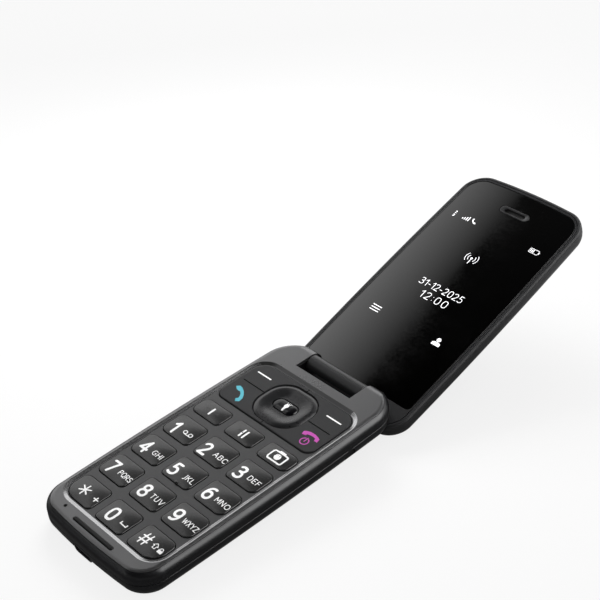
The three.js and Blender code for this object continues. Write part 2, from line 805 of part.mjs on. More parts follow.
function glass_outline(grow) {
  // Follows the casing's sides and far end, and runs straight beside the hinge.
  const far = key_end + plate_inset + glass_end_margin;
  const near = -glass_hinge_offset;
  const radii = [glass_far_corner, glass_near_corner, glass_near_corner, glass_far_corner];
  const plain = outline(glass_half_width + grow, (near - far) / 2 + grow,
    radii.map((radius) => radius + grow), corner_steps, side_steps, end_steps);
  return moved(plain, 0, (far + near) / 2 - middle_y).map((point) => {
    const bent = crowned(point);
    return point.y > 0 ? new THREE.Vector2(bent.x, point.y + middle_y) : bent;
  });
}

function earpiece_outline(width, height, grow) {
  return moved(pill(width + 2 * grow, height + 2 * grow), 0, earpiece_y);
}

function knuckle_profile(grow, top) {
  // Side view of the hinge knuckle: a bar with a fully rounded end past the hinge line.
  const radius = knuckle_radius + grow;
  const centre_y = -knuckle_offset;
  const centre_z = knuckle_radius - knuckle_reach;
  const points = [];
  const turns = 2 * round_steps;
  for (let step = 0; step <= turns; step += 1) {
    const angle = Math.PI + step / turns * Math.PI;
    points.push(new THREE.Vector2(centre_y + radius * Math.cos(angle), centre_z + radius * Math.sin(angle)));
  }
  points.push(new THREE.Vector2(centre_y + radius, top));
  points.push(new THREE.Vector2(centre_y - radius, top));
  return points;
}

function flex_room(grow) {
  // The ribbon runs up through the knuckle beside the hinge line.
  const half = flex_width / 2 + grow;
  const middle = -hinge_pin_radius - knuckle_offset / 2;
  const low = -grow - flex_thickness;
  const thick = flex_thickness / 2 + grow;
  return slab([-half, half], [middle - thick, middle + thick], low, lid_face + frame_depth + part_gap + grow);
}

function hinge_knuckle() {
  const half = notch_width / 2 - knuckle_gap;
  const top = lid_face + frame_depth - part_gap;
  return cross_prism(knuckle_profile(0, top), -half, half)
    .subtract(cross_post(hinge_pin_radius + part_gap, -overrun, -half + hinge_pin_entry + part_gap, 0))
    .subtract(cross_post(hinge_pin_radius + part_gap, half - hinge_pin_entry - part_gap, overrun, 0))
    .subtract(flex_room(fine_gap));
}

function lid_frame() {
  // The inner face of the lid, with seats for the glass, the display and the knuckle.
  const half = notch_width / 2 - knuckle_gap + part_gap;
  const ledge = moved(outline(lcd_width / 2 + part_gap, lcd_length / 2 + part_gap, Array(4).fill(fine_gap)), 0, lcd_y);
  const receiver_room = moved(outline((receiver_width + part_gap) / 2 + fine_gap,
    (receiver_height + part_gap) / 2 + fine_gap, Array(4).fill(lid_rim_round)), 0, earpiece_y);
  return lid_slab(plate_inset, 0, frame_depth)
    .subtract(prism(glass_outline(fine_gap), lid_face - overrun, lid_face + glass_drop + glass_thickness + part_gap))
    .subtract(prism(ledge, 0, overrun))
    .subtract(prism(receiver_room, 0, overrun))
    .subtract(cross_prism(knuckle_profile(part_gap, overrun), -half, half));
}

function lid_cover() {
  const room = lid_body(lid_wall)
    .add(lid_slab(plate_inset - seam, -overrun, frame_depth + part_gap));
  return lid_body()
    .subtract(room)
    .subtract(prism(window_outline(trim_width + fine_gap), 0, overrun));
}

function window_outline(grow) {
  return moved(pill(window_width + 2 * grow, window_length + 2 * grow), 0, window_y);
}

function window_trim() {
  const low = lid_back - window_thickness;
  return loft([
    { points: window_outline(trim_width), z: low },
    { points: window_outline(trim_width), z: lid_back },
    { points: window_outline(trim_width - trim_rise), z: lid_back + trim_rise },
  ]).subtract(prism(window_outline(fine_gap), 0, overrun));
}

const lens_y = window_y + lens_pitch / 2;
const flash_y = window_y - lens_pitch / 2;

function camera_window() {
  const low = lid_back - window_thickness;
  return prism(window_outline(0), low, lid_back)
    .subtract(post(0, lens_y, lens_ring_radius + fine_gap, 0, overrun))
    .subtract(post(0, flash_y, lens_ring_radius + fine_gap, 0, overrun));
}

function lens_ring(y) {
  const low = lid_back - window_thickness;
  return post(0, y, lens_ring_radius, low, lid_back + lens_ring_rise)
    .subtract(post(0, y, lens_ring_bore, 0, overrun));
}

function camera_lens() {
  // A stepped cover: flat rim, shallow cone, small middle lens.
  const top = lid_back - lens_drop;
  const bowl_shares = [0.62, 0.36];
  const cone = new THREE.CylinderGeometry(
    lens_ring_bore * bowl_shares[0], lens_ring_bore * bowl_shares[1], 2 * lens_drop, circle_sides);
  const bowl = solid_of(cone.rotateX(Math.PI / 2).translate(0, lens_y, top));
  return post(0, lens_y, lens_ring_bore - fine_gap, lid_back - window_thickness, top).subtract(bowl);
}

function flash_led() {
  const low = lid_back - window_thickness;
  const top = lid_back - lens_drop;
  return post(0, flash_y, lens_ring_bore - fine_gap, low, top - lens_drop)
    .add(post(0, flash_y, flash_radius, low, top));
}

function camera_module() {
  const top = lid_back - window_thickness - part_gap;
  const half = camera_block / 2;
  const low = lid_face + frame_depth + part_gap;
  return slab([-half, half], [lens_y - half, lens_y + half], low, top);
}

function display_glass() {
  const low = lid_face + glass_drop;
  return prism(glass_outline(0), low, low + glass_thickness)
    .subtract(prism(earpiece_outline(earpiece_width, earpiece_height, 0), 0, overrun));
}

function earpiece_grille() {
  // A bevelled surround with a sound slot, seated in the glass.
  const low = lid_face + glass_drop;
  const rim = earpiece_outline(earpiece_width, earpiece_height, -fine_gap);
  const slot = earpiece_outline(earpiece_slot_width, earpiece_slot_height, 0);
  const mouth = earpiece_outline(earpiece_width, earpiece_height, -fine_gap - earpiece_rim_drop);
  const bevel = loft([
    { points: mouth, z: low - earpiece_rim_drop },
    { points: mouth, z: low },
    { points: slot, z: low + earpiece_rim_drop },
  ]);
  return prism(rim, low, low + glass_thickness)
    .subtract(bevel)
    .subtract(prism(slot, 0, overrun));
}

function receiver() {
  const low = lid_face + glass_drop + glass_thickness + part_gap;
  const shape = outline(receiver_width / 2, receiver_height / 2, Array(4).fill(lid_rim_round));
  return prism(moved(shape, 0, earpiece_y), low, low + lcd_thickness);
}

function lcd_module() {
  const low = lid_face + glass_drop + glass_thickness + part_gap;
  const y = [lcd_y - lcd_length / 2, lcd_y + lcd_length / 2];
  return slab([-lcd_width / 2, lcd_width / 2], y, low, low + lcd_thickness);
}

function lid_board() {
  const low = lid_face + glass_drop + glass_thickness + lcd_thickness + 2 * part_gap;
  const half_x = lcd_width / 2 - lid_board_margin;
  const half_y = lcd_length / 2 - lid_board_margin;
  return slab([-half_x, half_x], [lcd_y - half_y, lcd_y + half_y], low, low + board_thickness);
}

function hinge_flex() {
  return flex_room(0);
}

const satin_black = new THREE.MeshStandardMaterial({ color: black, roughness: 0.45 });

function finish(color, roughness, metalness = 0) {
  return new THREE.MeshStandardMaterial({ color, roughness, metalness });
}

function named(name, solid, material) {
  const { vertProperties, triVerts } = solid.getMesh();
  const geometry = new THREE.BufferGeometry();
  geometry.setAttribute('position', new THREE.BufferAttribute(vertProperties, 3));
  geometry.setIndex(new THREE.BufferAttribute(triVerts, 1));
  geometry.computeVertexNormals();
  const mesh = new THREE.Mesh(geometry, material);
  mesh.name = name;
  return mesh;
}

function base_group() {
  const base = new THREE.Group();
  const key_black = finish(0x232325, 0.25);
  const steel = finish(0xb4b4b0, 0.35, 0.9);
  const board_green = finish(0x1f4a32, 0.6);
  base.add(
    named('front_plate', front_plate(), finish(0x5f6062, 0.42, 0.5)),
    named('base_housing', base_housing(), satin_black),
    named('battery_cover', battery_cover(), satin_black),
    named('rest_bumper', rest_bumper(), finish(0x303030, 0.85)),
    named('keypad_mat', keypad_mat(), finish(0x8a8c90, 0.8)),
    named('main_board', main_board(), board_green),
    named('charging_board', charging_board(), board_green),
    named('microphone', microphone(), steel),
    named('battery', battery(), finish(0x3a3f48, 0.5)),
    named('usb_socket', usb_socket(), steel),
    named('loudspeaker', loudspeaker(), finish(0x2b2b2b, 0.6)),
    named('vibration_motor', vibration_motor(), steel),
    named('sim_holder', sim_holder(), steel),
    named('hinge_module', hinge_module(), steel),
    named('hinge_pin', hinge_pin(), steel),
    named('left_function_key', function_key(-1), finish(0x3a3a3c, 0.5)),
    named('right_function_key', function_key(1), finish(0x3a3a3c, 0.5)),
    named('nav_pad', nav_pad(), finish(0x8a8c90, 0.8)),
    named('nav_ring', nav_ring(), finish(0x3d3d40, 0.35)),
    named('ok_key', ok_key(), key_black),
  );
  key_holes.forEach((hole) => base.add(named(hole.name, pillow_key(hole), key_black)));
  boss_places().forEach((place, index) => base.add(named(`screw_${index + 1}`, screw(place), steel)));
  return base;
}

function lid_group() {
  const lid = new THREE.Group();
  const steel = finish(0xb4b4b0, 0.35, 0.9);
  const dark_trim = finish(0x262628, 0.5);
  lid.add(
    named('lid_frame', lid_frame(), dark_trim),
    named('lid_cover', lid_cover(), finish(0x2a2a2b, 0.6)),
    named('hinge_knuckle', hinge_knuckle(), finish(0x3c3c3e, 0.35)),
    named('display_glass', display_glass(), finish(0x050506, 0.05)),
    named('earpiece_grille', earpiece_grille(), dark_trim),
    named('receiver', receiver(), steel),
    named('lcd_module', lcd_module(), finish(0x6c7078, 0.4)),
    named('lid_board', lid_board(), finish(0x1f4a32, 0.6)),
    named('hinge_flex', hinge_flex(), finish(0xa8672a, 0.5)),
    named('camera_window', camera_window(), finish(0x050506, 0.05)),
    named('window_trim', window_trim(), dark_trim),
    named('camera_ring', lens_ring(lens_y), steel),
    named('flash_ring', lens_ring(flash_y), steel),
    named('camera_lens', camera_lens(), finish(0x2c2d30, 0.15)),
    named('flash_led', flash_led(), finish(0xe6e6d0, 0.4)),
    named('camera_module', camera_module(), finish(0x202022, 0.5)),
  );
  lid.position.set(0, 0, hinge_height);
  lid.rotation.x = -THREE.MathUtils.degToRad(opening_degrees);
  return lid;
}

function resting_tilt() {
  // The opened phone stands on the round of its keypad end and the round of the lid's hinge end.
  const opening = THREE.MathUtils.degToRad(opening_degrees);
  const front = new THREE.Vector2(key_end + base_back_round, base_back_round);
  const lid_round_z = lid_back - lid_outer_round;
  const lid_round_y = hinge_end - lid_outer_round;
  const rear = new THREE.Vector2(
    lid_round_y * Math.cos(opening) + lid_round_z * Math.sin(opening),
    hinge_height - lid_round_y * Math.sin(opening) + lid_round_z * Math.cos(opening));
  const run = rear.clone().sub(front);
  return Math.atan2(-run.y, run.x) + Math.asin((lid_outer_round - base_back_round) / run.length());
}

const phone = new THREE.Group();
const opened = new THREE.Group();
opened.add(base_group(), lid_group());
opened.rotation.x = resting_tilt();
phone.add(opened);
phone.updateMatrixWorld(true);
const bounds = new THREE.Box3().setFromObject(phone, true);
opened.position.set(0, -(bounds.min.y + bounds.max.y) / 2, -bounds.min.z);
phone.updateMatrixWorld(true);

export default phone;
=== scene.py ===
"""A flip phone, opened on a table: its looks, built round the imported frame.

The shapes are drawn in millimetres, each half of the phone in its own place: the base with the
hinge line at y = 0 and its back at z = 0, the lid closed, with the hinge line at y = 0, z = 0.
"""

import sys
import json
import logging
import math
from collections.abc import Callable, Iterable
from dataclasses import dataclass, field
from enum import Enum
from functools import partial, reduce

import bpy
from mathutils import Matrix, Vector
from mathutils.bvhtree import BVHTree


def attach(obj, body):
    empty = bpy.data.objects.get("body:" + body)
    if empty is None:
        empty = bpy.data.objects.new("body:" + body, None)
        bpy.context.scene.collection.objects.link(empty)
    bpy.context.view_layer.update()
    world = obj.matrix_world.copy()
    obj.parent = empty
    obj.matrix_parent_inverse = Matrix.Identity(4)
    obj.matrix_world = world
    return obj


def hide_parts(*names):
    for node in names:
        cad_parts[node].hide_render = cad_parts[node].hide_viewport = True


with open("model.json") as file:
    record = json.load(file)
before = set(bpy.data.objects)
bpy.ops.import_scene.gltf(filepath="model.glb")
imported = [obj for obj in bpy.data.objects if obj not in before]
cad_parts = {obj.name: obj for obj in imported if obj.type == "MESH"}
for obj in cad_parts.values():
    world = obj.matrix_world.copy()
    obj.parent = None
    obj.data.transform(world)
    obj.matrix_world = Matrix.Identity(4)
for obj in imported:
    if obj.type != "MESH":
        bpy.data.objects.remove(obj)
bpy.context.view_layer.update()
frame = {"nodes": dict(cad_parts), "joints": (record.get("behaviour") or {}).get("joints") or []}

log = logging.getLogger("flip_phone")

Point = tuple[float, float]
Place = tuple[float, float, float]
Outline = list[Point]
Ring = tuple[Outline, float]
Socket = bpy.types.NodeSocket

TURN = 2 * math.pi
FAR = 300.0
FINE_GAP = 0.15
PART_GAP = 0.3
ROUND_SIDES = 48


def rounded(half_x: float, half_y: float, radii: Iterable[float], steps: int = 10,
            along: int = 1, across: int = 1) -> Outline:
    """Draw a rounded rectangle, counter-clockwise.

    Args:
        half_x: Half its width.
        half_y: Half its height.
        radii: Corner radii from the right front corner round.
        steps: Pieces in each corner.
        along: Pieces in each long side.
        across: Pieces in each short side.

    Returns:
        Its points.
    """
    signs = ((1, -1), (1, 1), (-1, 1), (-1, -1))
    kept = [min(radius, half_x, half_y) for radius in radii]
    points: Outline = []
    for corner, (sx, sy) in enumerate(signs):
        radius = kept[corner]
        for step in range(steps + 1):
            angle = (corner - 1 + step / steps) * math.pi / 2
            points.append((sx * (half_x - radius) + radius * math.cos(angle),
                           sy * (half_y - radius) + radius * math.sin(angle)))
        nx, ny = signs[(corner + 1) % 4]
        after = kept[(corner + 1) % 4]
        if corner % 2 == 0:
            end, pieces = (nx * half_x, ny * (half_y - after)), along
        else:
            end, pieces = (nx * (half_x - after), ny * half_y), across
        start = points[-1]
        points += [(start[0] + (end[0] - start[0]) * piece / pieces,
                    start[1] + (end[1] - start[1]) * piece / pieces) for piece in range(1, pieces)]
    return points


def pill(width: float, height: float, steps: int = 12) -> Outline:
    """Return a slot shape with fully round ends."""
    return rounded(width / 2, height / 2, [min(width, height) / 2] * 4, steps)


def moved(points: Outline, x: float, y: float) -> Outline:
    """Return the outline carried by (x, y)."""
    return [(px + x, py + y) for px, py in points]


def quarter(radius: float, steps: int = 8) -> list[Point]:
    """Return a quarter round as (inset, rise), from its flat end to its upright end."""
    angles = [step / steps * math.pi / 2 for step in range(steps + 1)]
    return [(radius * (1 - math.sin(angle)), radius * (1 - math.cos(angle))) for angle in angles]


def edge_over(outline: Callable[[float], Outline], grow: float, top: float, radius: float,
              steps: int) -> list[Ring]:
    """Return the rings, lowest first, that round an outline's upper edge over."""
    return [(outline(grow - inset), top - rise) for inset, rise in reversed(quarter(radius, steps))]


def arc(centre: Point, radius: float, pieces: int = ROUND_SIDES, start: float = 0.0,
        sweep: float = TURN) -> Outline:
    """Return a round, or a part of one with both its ends, in straight pieces."""
    angles = [start + sweep * piece / pieces for piece in range(pieces + (sweep < TURN))]
    return [(centre[0] + radius * math.cos(a), centre[1] + radius * math.sin(a)) for a in angles]


def mesh_of(name: str, places: list[Place], faces: list[tuple[int, ...]]) -> bpy.types.Mesh:
    """Return a new mesh."""
    mesh = bpy.data.meshes.new(name)
    mesh.from_pydata(places, [], faces)
    return mesh


def linked(name: str, data: bpy.types.ID) -> bpy.types.Object:
    """Return a new object in the scene."""
    thing = bpy.data.objects.new(name, data)
    bpy.context.scene.collection.objects.link(thing)
    return thing


def combine(tree: bpy.types.NodeTree, operation: str, first: Socket,
            second: Socket | float) -> Socket:
    """Return two values worked together, of which the second may be a plain number."""
    node = tree.nodes.new("ShaderNodeMath")
    node.operation = operation
    tree.links.new(first, node.inputs[0])
    if isinstance(second, float):
        node.inputs[1].default_value = second
    else:
        tree.links.new(second, node.inputs[1])
    return node.outputs[0]


def carried(tree: bpy.types.NodeTree, value: Socket, limits: tuple[float, ...],
            kind: str = "LINEAR") -> Socket:
    """Return a value carried from (from low, from high) to (to low, to high), and held there."""
    node = tree.nodes.new("ShaderNodeMapRange")
    node.interpolation_type = kind
    tree.links.new(value, node.inputs["Value"])
    for label, number in zip(("From Min", "From Max", "To Min", "To Max"), limits):
        node.inputs[label].default_value = number
    return node.outputs["Result"]


class Solid:
    """A closed body in millimetres that is joined to, cut by and crossed with others."""

    def __init__(self, mesh: bpy.types.Mesh) -> None:
        """Keep the mesh."""
        self.mesh = mesh

    @classmethod
    def skin(cls, places: list[Place], count: int, rings: int) -> "Solid":
        """Close rings of points into a body.

        Args:
            places: All points, ring after ring.
            count: Points in a ring.
            rings: How many rings there are.

        Returns:
            The body.
        """
        faces: list[tuple[int, ...]] = [tuple(reversed(range(count)))]
        for ring in range(rings - 1):
            for point in range(count):
                a = ring * count + point
                b = ring * count + (point + 1) % count
                faces.append((a, b, b + count, a + count))
        faces.append(tuple(range((rings - 1) * count, rings * count)))
        return cls(mesh_of("work", places, faces))

    @classmethod
    def loft(cls, rings: list[Ring]) -> "Solid":
        """Return rings of equal point counts, lowest first, skinned and closed."""
        places = [(x, y, z) for points, z in rings for x, y in points]
        return cls.skin(places, len(rings[0][0]), len(rings))

    @classmethod
    def prism(cls, points: Outline, low: float, high: float) -> "Solid":
        """Return an outline carried upwards."""
        return cls.loft([(points, low), (points, high)])

    @classmethod
    def across(cls, points: Outline, left: float, right: float) -> "Solid":
        """Return a side profile, drawn as (y, z), carried along X."""
        places = [(x, y, z) for x in (left, right) for y, z in points]
        return cls.skin(places, len(points), 2)

    @classmethod
    def lengthwise(cls, points: Outline, front: float, back: float) -> "Solid":
        """Return an end shape, drawn as (x, z), carried along Y."""
        places = [(x, y, z) for y in (back, front) for x, z in points]
        return cls.skin(places, len(points), 2)

    @classmethod
    def slab(cls, x: Point, y: Point, low: float, high: float) -> "Solid":
        """Return a block between two corners."""
        return cls.prism([(x[0], y[0]), (x[1], y[0]), (x[1], y[1]), (x[0], y[1])], low, high)

    @classmethod
    def post(cls, x: float, y: float, radius: float, low: float, high: float,
             sides: int = ROUND_SIDES) -> "Solid":
        """Return an upright round bar."""
        return cls.prism(arc((x, y), radius, sides), low, high)

    @classmethod
    def axle(cls, radius: float, left: float, right: float, height: float) -> "Solid":
        """Return a round bar along X, at a height over the hinge line's y."""
        return cls.across(arc((0.0, height), radius), left, right)

    def worked(self, operation: str, others: Iterable["Solid"]) -> "Solid":
        """Join, cut or cross this body with others, one after another.

        Args:
            operation: UNION, DIFFERENCE or INTERSECT.
            others: The other bodies.

        Returns:
            The new body.
        """
        body = linked("work", self.mesh)
        tools = [linked("tool", other.mesh) for other in others]
        for tool in tools:
            step = body.modifiers.new("step", "BOOLEAN")
            step.operation = operation
            step.solver = "MANIFOLD"
            step.object = tool
        graph = bpy.context.evaluated_depsgraph_get()
        mesh = bpy.data.meshes.new_from_object(body.evaluated_get(graph), depsgraph=graph)
        for thing in (body, *tools):
            bpy.data.objects.remove(thing)
        if not mesh.polygons:
            raise ValueError(f"{operation} left nothing")
        return Solid(mesh)

    def add(self, *others: "Solid") -> "Solid":
        """Return this body joined with others."""
        return self.worked("UNION", others)

    def cut(self, *others: "Solid") -> "Solid":
        """Return this body with others taken away."""
        return self.worked("DIFFERENCE", others)

    def within(self, *others: "Solid") -> "Solid":
        """Return what this body shares with others."""
        return self.worked("INTERSECT", others)


@dataclass(frozen=True)
class Stand:
    """Where the opened phone stands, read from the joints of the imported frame."""

    hinge: Vector
    tilt: float
    opening: float
    hinge_height: float = 5.0

    @classmethod
    def read(cls) -> "Stand":
        """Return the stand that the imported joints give."""
        joints = {joint["name"]: joint for joint in frame["joints"]}
        lid = joints["lid"]
        _, sine, cosine = joints["ok_key_press"]["axis"]
        return cls(Vector(lid["pos_m"]), math.atan2(sine, -cosine),
                   math.radians(lid["range_deg"][1]))

    def base(self) -> Matrix:
        """Return the placing of the base half, from its millimetres to the row frame."""
        turn = Matrix.Rotation(self.tilt, 4, "X")
        return (Matrix.Translation(self.hinge) @ turn @ Matrix.Scale(0.001, 4)
                @ Matrix.Translation((0, 0, -self.hinge_height)))

    def lid(self) -> Matrix:
        """Return the placing of the lid half, opened."""
        return (Matrix.Translation(self.hinge) @ Matrix.Rotation(self.tilt - self.opening, 4, "X")
                @ Matrix.Scale(0.001, 4))


class EffectGroup:
    """A shader effect that several finishes share, kept as a node group."""

    def __init__(self, name: str, inputs: dict[str, float], outputs: Iterable[str]) -> None:
        """Open a group with named number inputs and named outputs."""
        self.tree = bpy.data.node_groups.new(name, "ShaderNodeTree")
        for label, value in inputs.items():
            socket = self.tree.interface.new_socket(label, in_out="INPUT",
                                                    socket_type="NodeSocketFloat")
            socket.default_value = value
        for label in outputs:
            self.tree.interface.new_socket(label, in_out="OUTPUT", socket_type="NodeSocketFloat")
        self.source = self.tree.nodes.new("NodeGroupInput")
        self.sink = self.tree.nodes.new("NodeGroupOutput")
        self.place = self.tree.nodes.new("ShaderNodeTexCoord").outputs["Object"]

    def give(self, label: str, value: Socket) -> None:
        """Put a value out."""
        self.tree.links.new(value, self.sink.inputs[label])

    def noise(self, scale: str | float, limits: tuple[float, ...], detail: float = 2.0,
              roughness: float = 0.5) -> Socket:
        """Add a noise that is carried into a range.

        Args:
            scale: Its scale, or the name of the input that holds it.
            limits: The two limits that it is cut at, and what they become.
            detail: Octaves.
            roughness: How strong the fine octaves are.

        Returns:
            The noise in its new range.
        """
        node = self.tree.nodes.new("ShaderNodeTexNoise")
        node.inputs["Detail"].default_value = detail
        node.inputs["Roughness"].default_value = roughness
        self.tree.links.new(self.place, node.inputs["Vector"])
        if isinstance(scale, str):
            self.tree.links.new(self.source.outputs[scale], node.inputs["Scale"])
        else:
            node.inputs["Scale"].default_value = scale
        return carried(self.tree, node.outputs["Fac"], limits)


class Effects:
    """The shared effects: moulded grain and the marks of handling."""

    def __init__(self) -> None:
        """Build both groups."""
        self.grain = self.moulded_grain()
        self.marks = self.handling_marks()

    @staticmethod
    def moulded_grain() -> bpy.types.ShaderNodeTree:
        """Return the fine spark-eroded texture of a mould: Height for bump, Tone for colour."""
        group = EffectGroup("moulded_grain", {"Scale": 5000.0}, ("Height", "Tone"))
        speckle = group.noise("Scale", (0.3, 0.7, 0.9, 1.0), 3.0, 0.6)
        clouds = group.noise(55.0, (0.3, 0.7, -0.03, 0.05))
        group.give("Height", group.noise("Scale", (0.25, 0.75, 0.0, 1.0), 3.0, 0.6))
        group.give("Tone", combine(group.tree, "ADD", speckle, clouds))
        return group.tree

    @staticmethod
    def handling_marks() -> bpy.types.ShaderNodeTree:
        """Return roughness that varies as wiped plastic does: the input lies in its middle."""
        group = EffectGroup("handling_marks", {"Roughness": 0.4}, ("Roughness",))
        wipes = group.noise(38.0, (0.3, 0.7, -0.035, 0.035), 4.0, 0.55)
        specks = group.noise(900.0, (0.35, 0.65, -0.012, 0.012), 1.0)
        wiped = combine(group.tree, "ADD", group.source.outputs["Roughness"], wipes)
        group.give("Roughness", combine(group.tree, "ADD", wiped, specks))
        return group.tree


GRAIN_HEIGHT = 0.00002


@dataclass(frozen=True)
class Finish:
    """A moulded, painted or plated finish."""

    name: str
    slot: str
    colour: tuple[float, float, float]
    roughness: float = 0.4
    metallic: float = 0.0
    grain_scale: float = 5000.0
    grain_depth: float = 0.15
    specular: float = 0.5
    glow: float = 0.0

    def material(self, effects: Effects) -> bpy.types.Material:
        """Build the finish as nodes, once.

        Args:
            effects: The shared effects.

        Returns:
            The material.
        """
        made = bpy.data.materials.get(self.name)
        if made:
            return made
        made = bpy.data.materials.new(self.name)
        made.use_nodes = True
        nodes, links = made.node_tree.nodes, made.node_tree.links
        shader = nodes["Principled BSDF"]
        shader.inputs["Metallic"].default_value = self.metallic
        shader.inputs["Specular IOR Level"].default_value = self.specular
        grain = nodes.new("ShaderNodeGroup")
        grain.node_tree = effects.grain
        grain.inputs["Scale"].default_value = self.grain_scale
        marks = nodes.new("ShaderNodeGroup")
        marks.node_tree = effects.marks
        marks.inputs["Roughness"].default_value = self.roughness
        links.new(marks.outputs["Roughness"], shader.inputs["Roughness"])
        tone = nodes.new("ShaderNodeMix")
        tone.data_type = "RGBA"
        tone.blend_type = "MULTIPLY"
        tone.inputs["Factor"].default_value = 1.0
        tone.inputs["A"].default_value = (*self.colour, 1.0)
        links.new(grain.outputs["Tone"], tone.inputs["B"])
        links.new(tone.outputs["Result"], shader.inputs["Base Color"])
        bump = nodes.new("ShaderNodeBump")
        bump.inputs["Strength"].default_value = self.grain_depth
        bump.inputs["Distance"].default_value = GRAIN_HEIGHT
        links.new(grain.outputs["Height"], bump.inputs["Height"])
        links.new(bump.outputs["Normal"], shader.inputs["Normal"])
        # The glow is the lit display on the screen signs, and painted light on the legends and on
        # the call and end signs.
        if self.glow:
            links.new(tone.outputs["Result"], shader.inputs["Emission Color"])
            shader.inputs["Emission Strength"].default_value = self.glow
        return made


class Look(Enum):
    """Every finish on the phone."""

    FASCIA = Finish("fascia_satin", "fascia", (0.125, 0.125, 0.127), 0.3, 0.75, 6500.0, 0.02, 0.3)
    # A darker copy of the fascia finish: painted shade on the sunk deck between the keys and on the
    # hinge-side part of the rim.
    DECK = Finish("fascia_deck_satin", "fascia", (0.07, 0.07, 0.071), 0.32, 0.7, 6500.0, 0.02, 0.3)
    # A brighter copy of the fascia finish for the slope round the deck: partly a polished chamfer,
    # partly a painted highlight.
    RIM = Finish("fascia_rim_polished", "fascia", (0.34, 0.34, 0.345), 0.2, 0.85, 6500.0, 0.01)
    SHELL = Finish("shell_satin_black", "satin_black", (0.008, 0.008, 0.009), 0.3, 0.0, 5200.0, 0.1,
                   0.3)
    COVER = Finish("cover_matt_black", "cover_black", (0.020, 0.020, 0.021), 0.5, 0.0, 4200.0, 0.3,
                   0.22)
    LID_FRAME = Finish("lid_frame_black", "dark_trim", (0.012, 0.012, 0.013), 0.38, 0.0, 5200.0,
                       0.12, 0.25)
    RUBBER = Finish("rubber_strip", "rubber", (0.009, 0.009, 0.009), 0.5, 0.0, 3600.0, 0.3, 0.15)
    KEY = Finish("key_black", "key_black", (0.006, 0.006, 0.007), 0.17, 0.0, 6000.0, 0.02, 0.22)
    PAD = Finish("function_key_grey", "function_keys", (0.028, 0.028, 0.029), 0.5, 0.0, 5200.0, 0.2,
                 0.12)
    RING = Finish("direction_ring_grey", "nav_ring", (0.014, 0.014, 0.015), 0.27, 0.0, 6000.0, 0.01,
                  0.3)
    OK_KEY = Finish("middle_key_gloss", "key_black", (0.004, 0.004, 0.005), 0.15, 0.0, 7000.0, 0.02,
                    0.25)
    KNUCKLE = Finish("knuckle_satin", "knuckle", (0.020, 0.020, 0.021), 0.32, 0.1, 5200.0, 0.1,
                     0.35)
    GLASS = Finish("black_glass", "glass_black", (0.0006, 0.0006, 0.0006), 0.04, 0.0, 3000.0, 0.0,
                   0.5)
    TRIM = Finish("bevel_trim", "dark_trim", (0.02, 0.02, 0.021), 0.3, 0.0, 5200.0, 0.08, 0.5)
    PORT = Finish("port_shell", "steel", (0.16, 0.16, 0.165), 0.4, 0.9, 2500.0, 0.1)
    STEEL = Finish("brushed_ring", "steel", (0.62, 0.62, 0.61), 0.25, 0.9, 2500.0, 0.1)
    LENS = Finish("lens_dark", "lens", (0.03, 0.031, 0.036), 0.1, 0.0, 3000.0, 0.0, 0.6)
    LED = Finish("flash_cream", "led", (0.78, 0.76, 0.6), 0.45, 0.0, 2500.0, 0.3)
    BOARD = Finish("solder_mask", "circuit_board", (0.013, 0.07, 0.03), 0.4, 0.0, 900.0, 0.4)
    CELL = Finish("cell_wrap", "battery_shell", (0.04, 0.05, 0.07), 0.35, 0.0, 300.0, 0.4)
    SILICONE = Finish("silicone_grey", "silicone", (0.25, 0.26, 0.27), 0.6, 0.0, 2500.0, 0.2)
    CASED = Finish("speaker_case", "speaker_black", (0.02, 0.02, 0.02), 0.5, 0.0, 2500.0, 0.3)
    PANEL = Finish("display_panel", "lcd", (0.15, 0.16, 0.18), 0.3, 0.0, 2500.0, 0.1)
    FILM = Finish("amber_film", "flex_film", (0.38, 0.13, 0.02), 0.35, 0.0, 2500.0, 0.1)
    # The print's own white, blue and magenta, with a small glow on top that is painted light.
    INK = Finish("legend_white", "key_black", (0.86, 0.86, 0.86), 0.4, 0.0, 5000.0, 0.02, 0.3, 0.2)
    CALL_INK = Finish("call_icon_blue", "function_keys", (0.06, 0.42, 0.52), 0.4, 0.0, 5000.0, 0.02,
                      0.3, 0.05)
    END_INK = Finish("end_icon_magenta", "function_keys", (0.52, 0.05, 0.40), 0.4, 0.0, 5000.0,
                     0.02,
                     0.3, 0.05)
    SCREEN = Finish("screen_light", "lcd", (0.9, 0.9, 0.92), 0.4, 0.0, 2500.0, 0.0, 0.0, 0.75)


class Half(Enum):
    """Which half of the phone a piece is drawn in, with the CAD body of that half."""

    BASE = "base"
    LID = "lid_half"


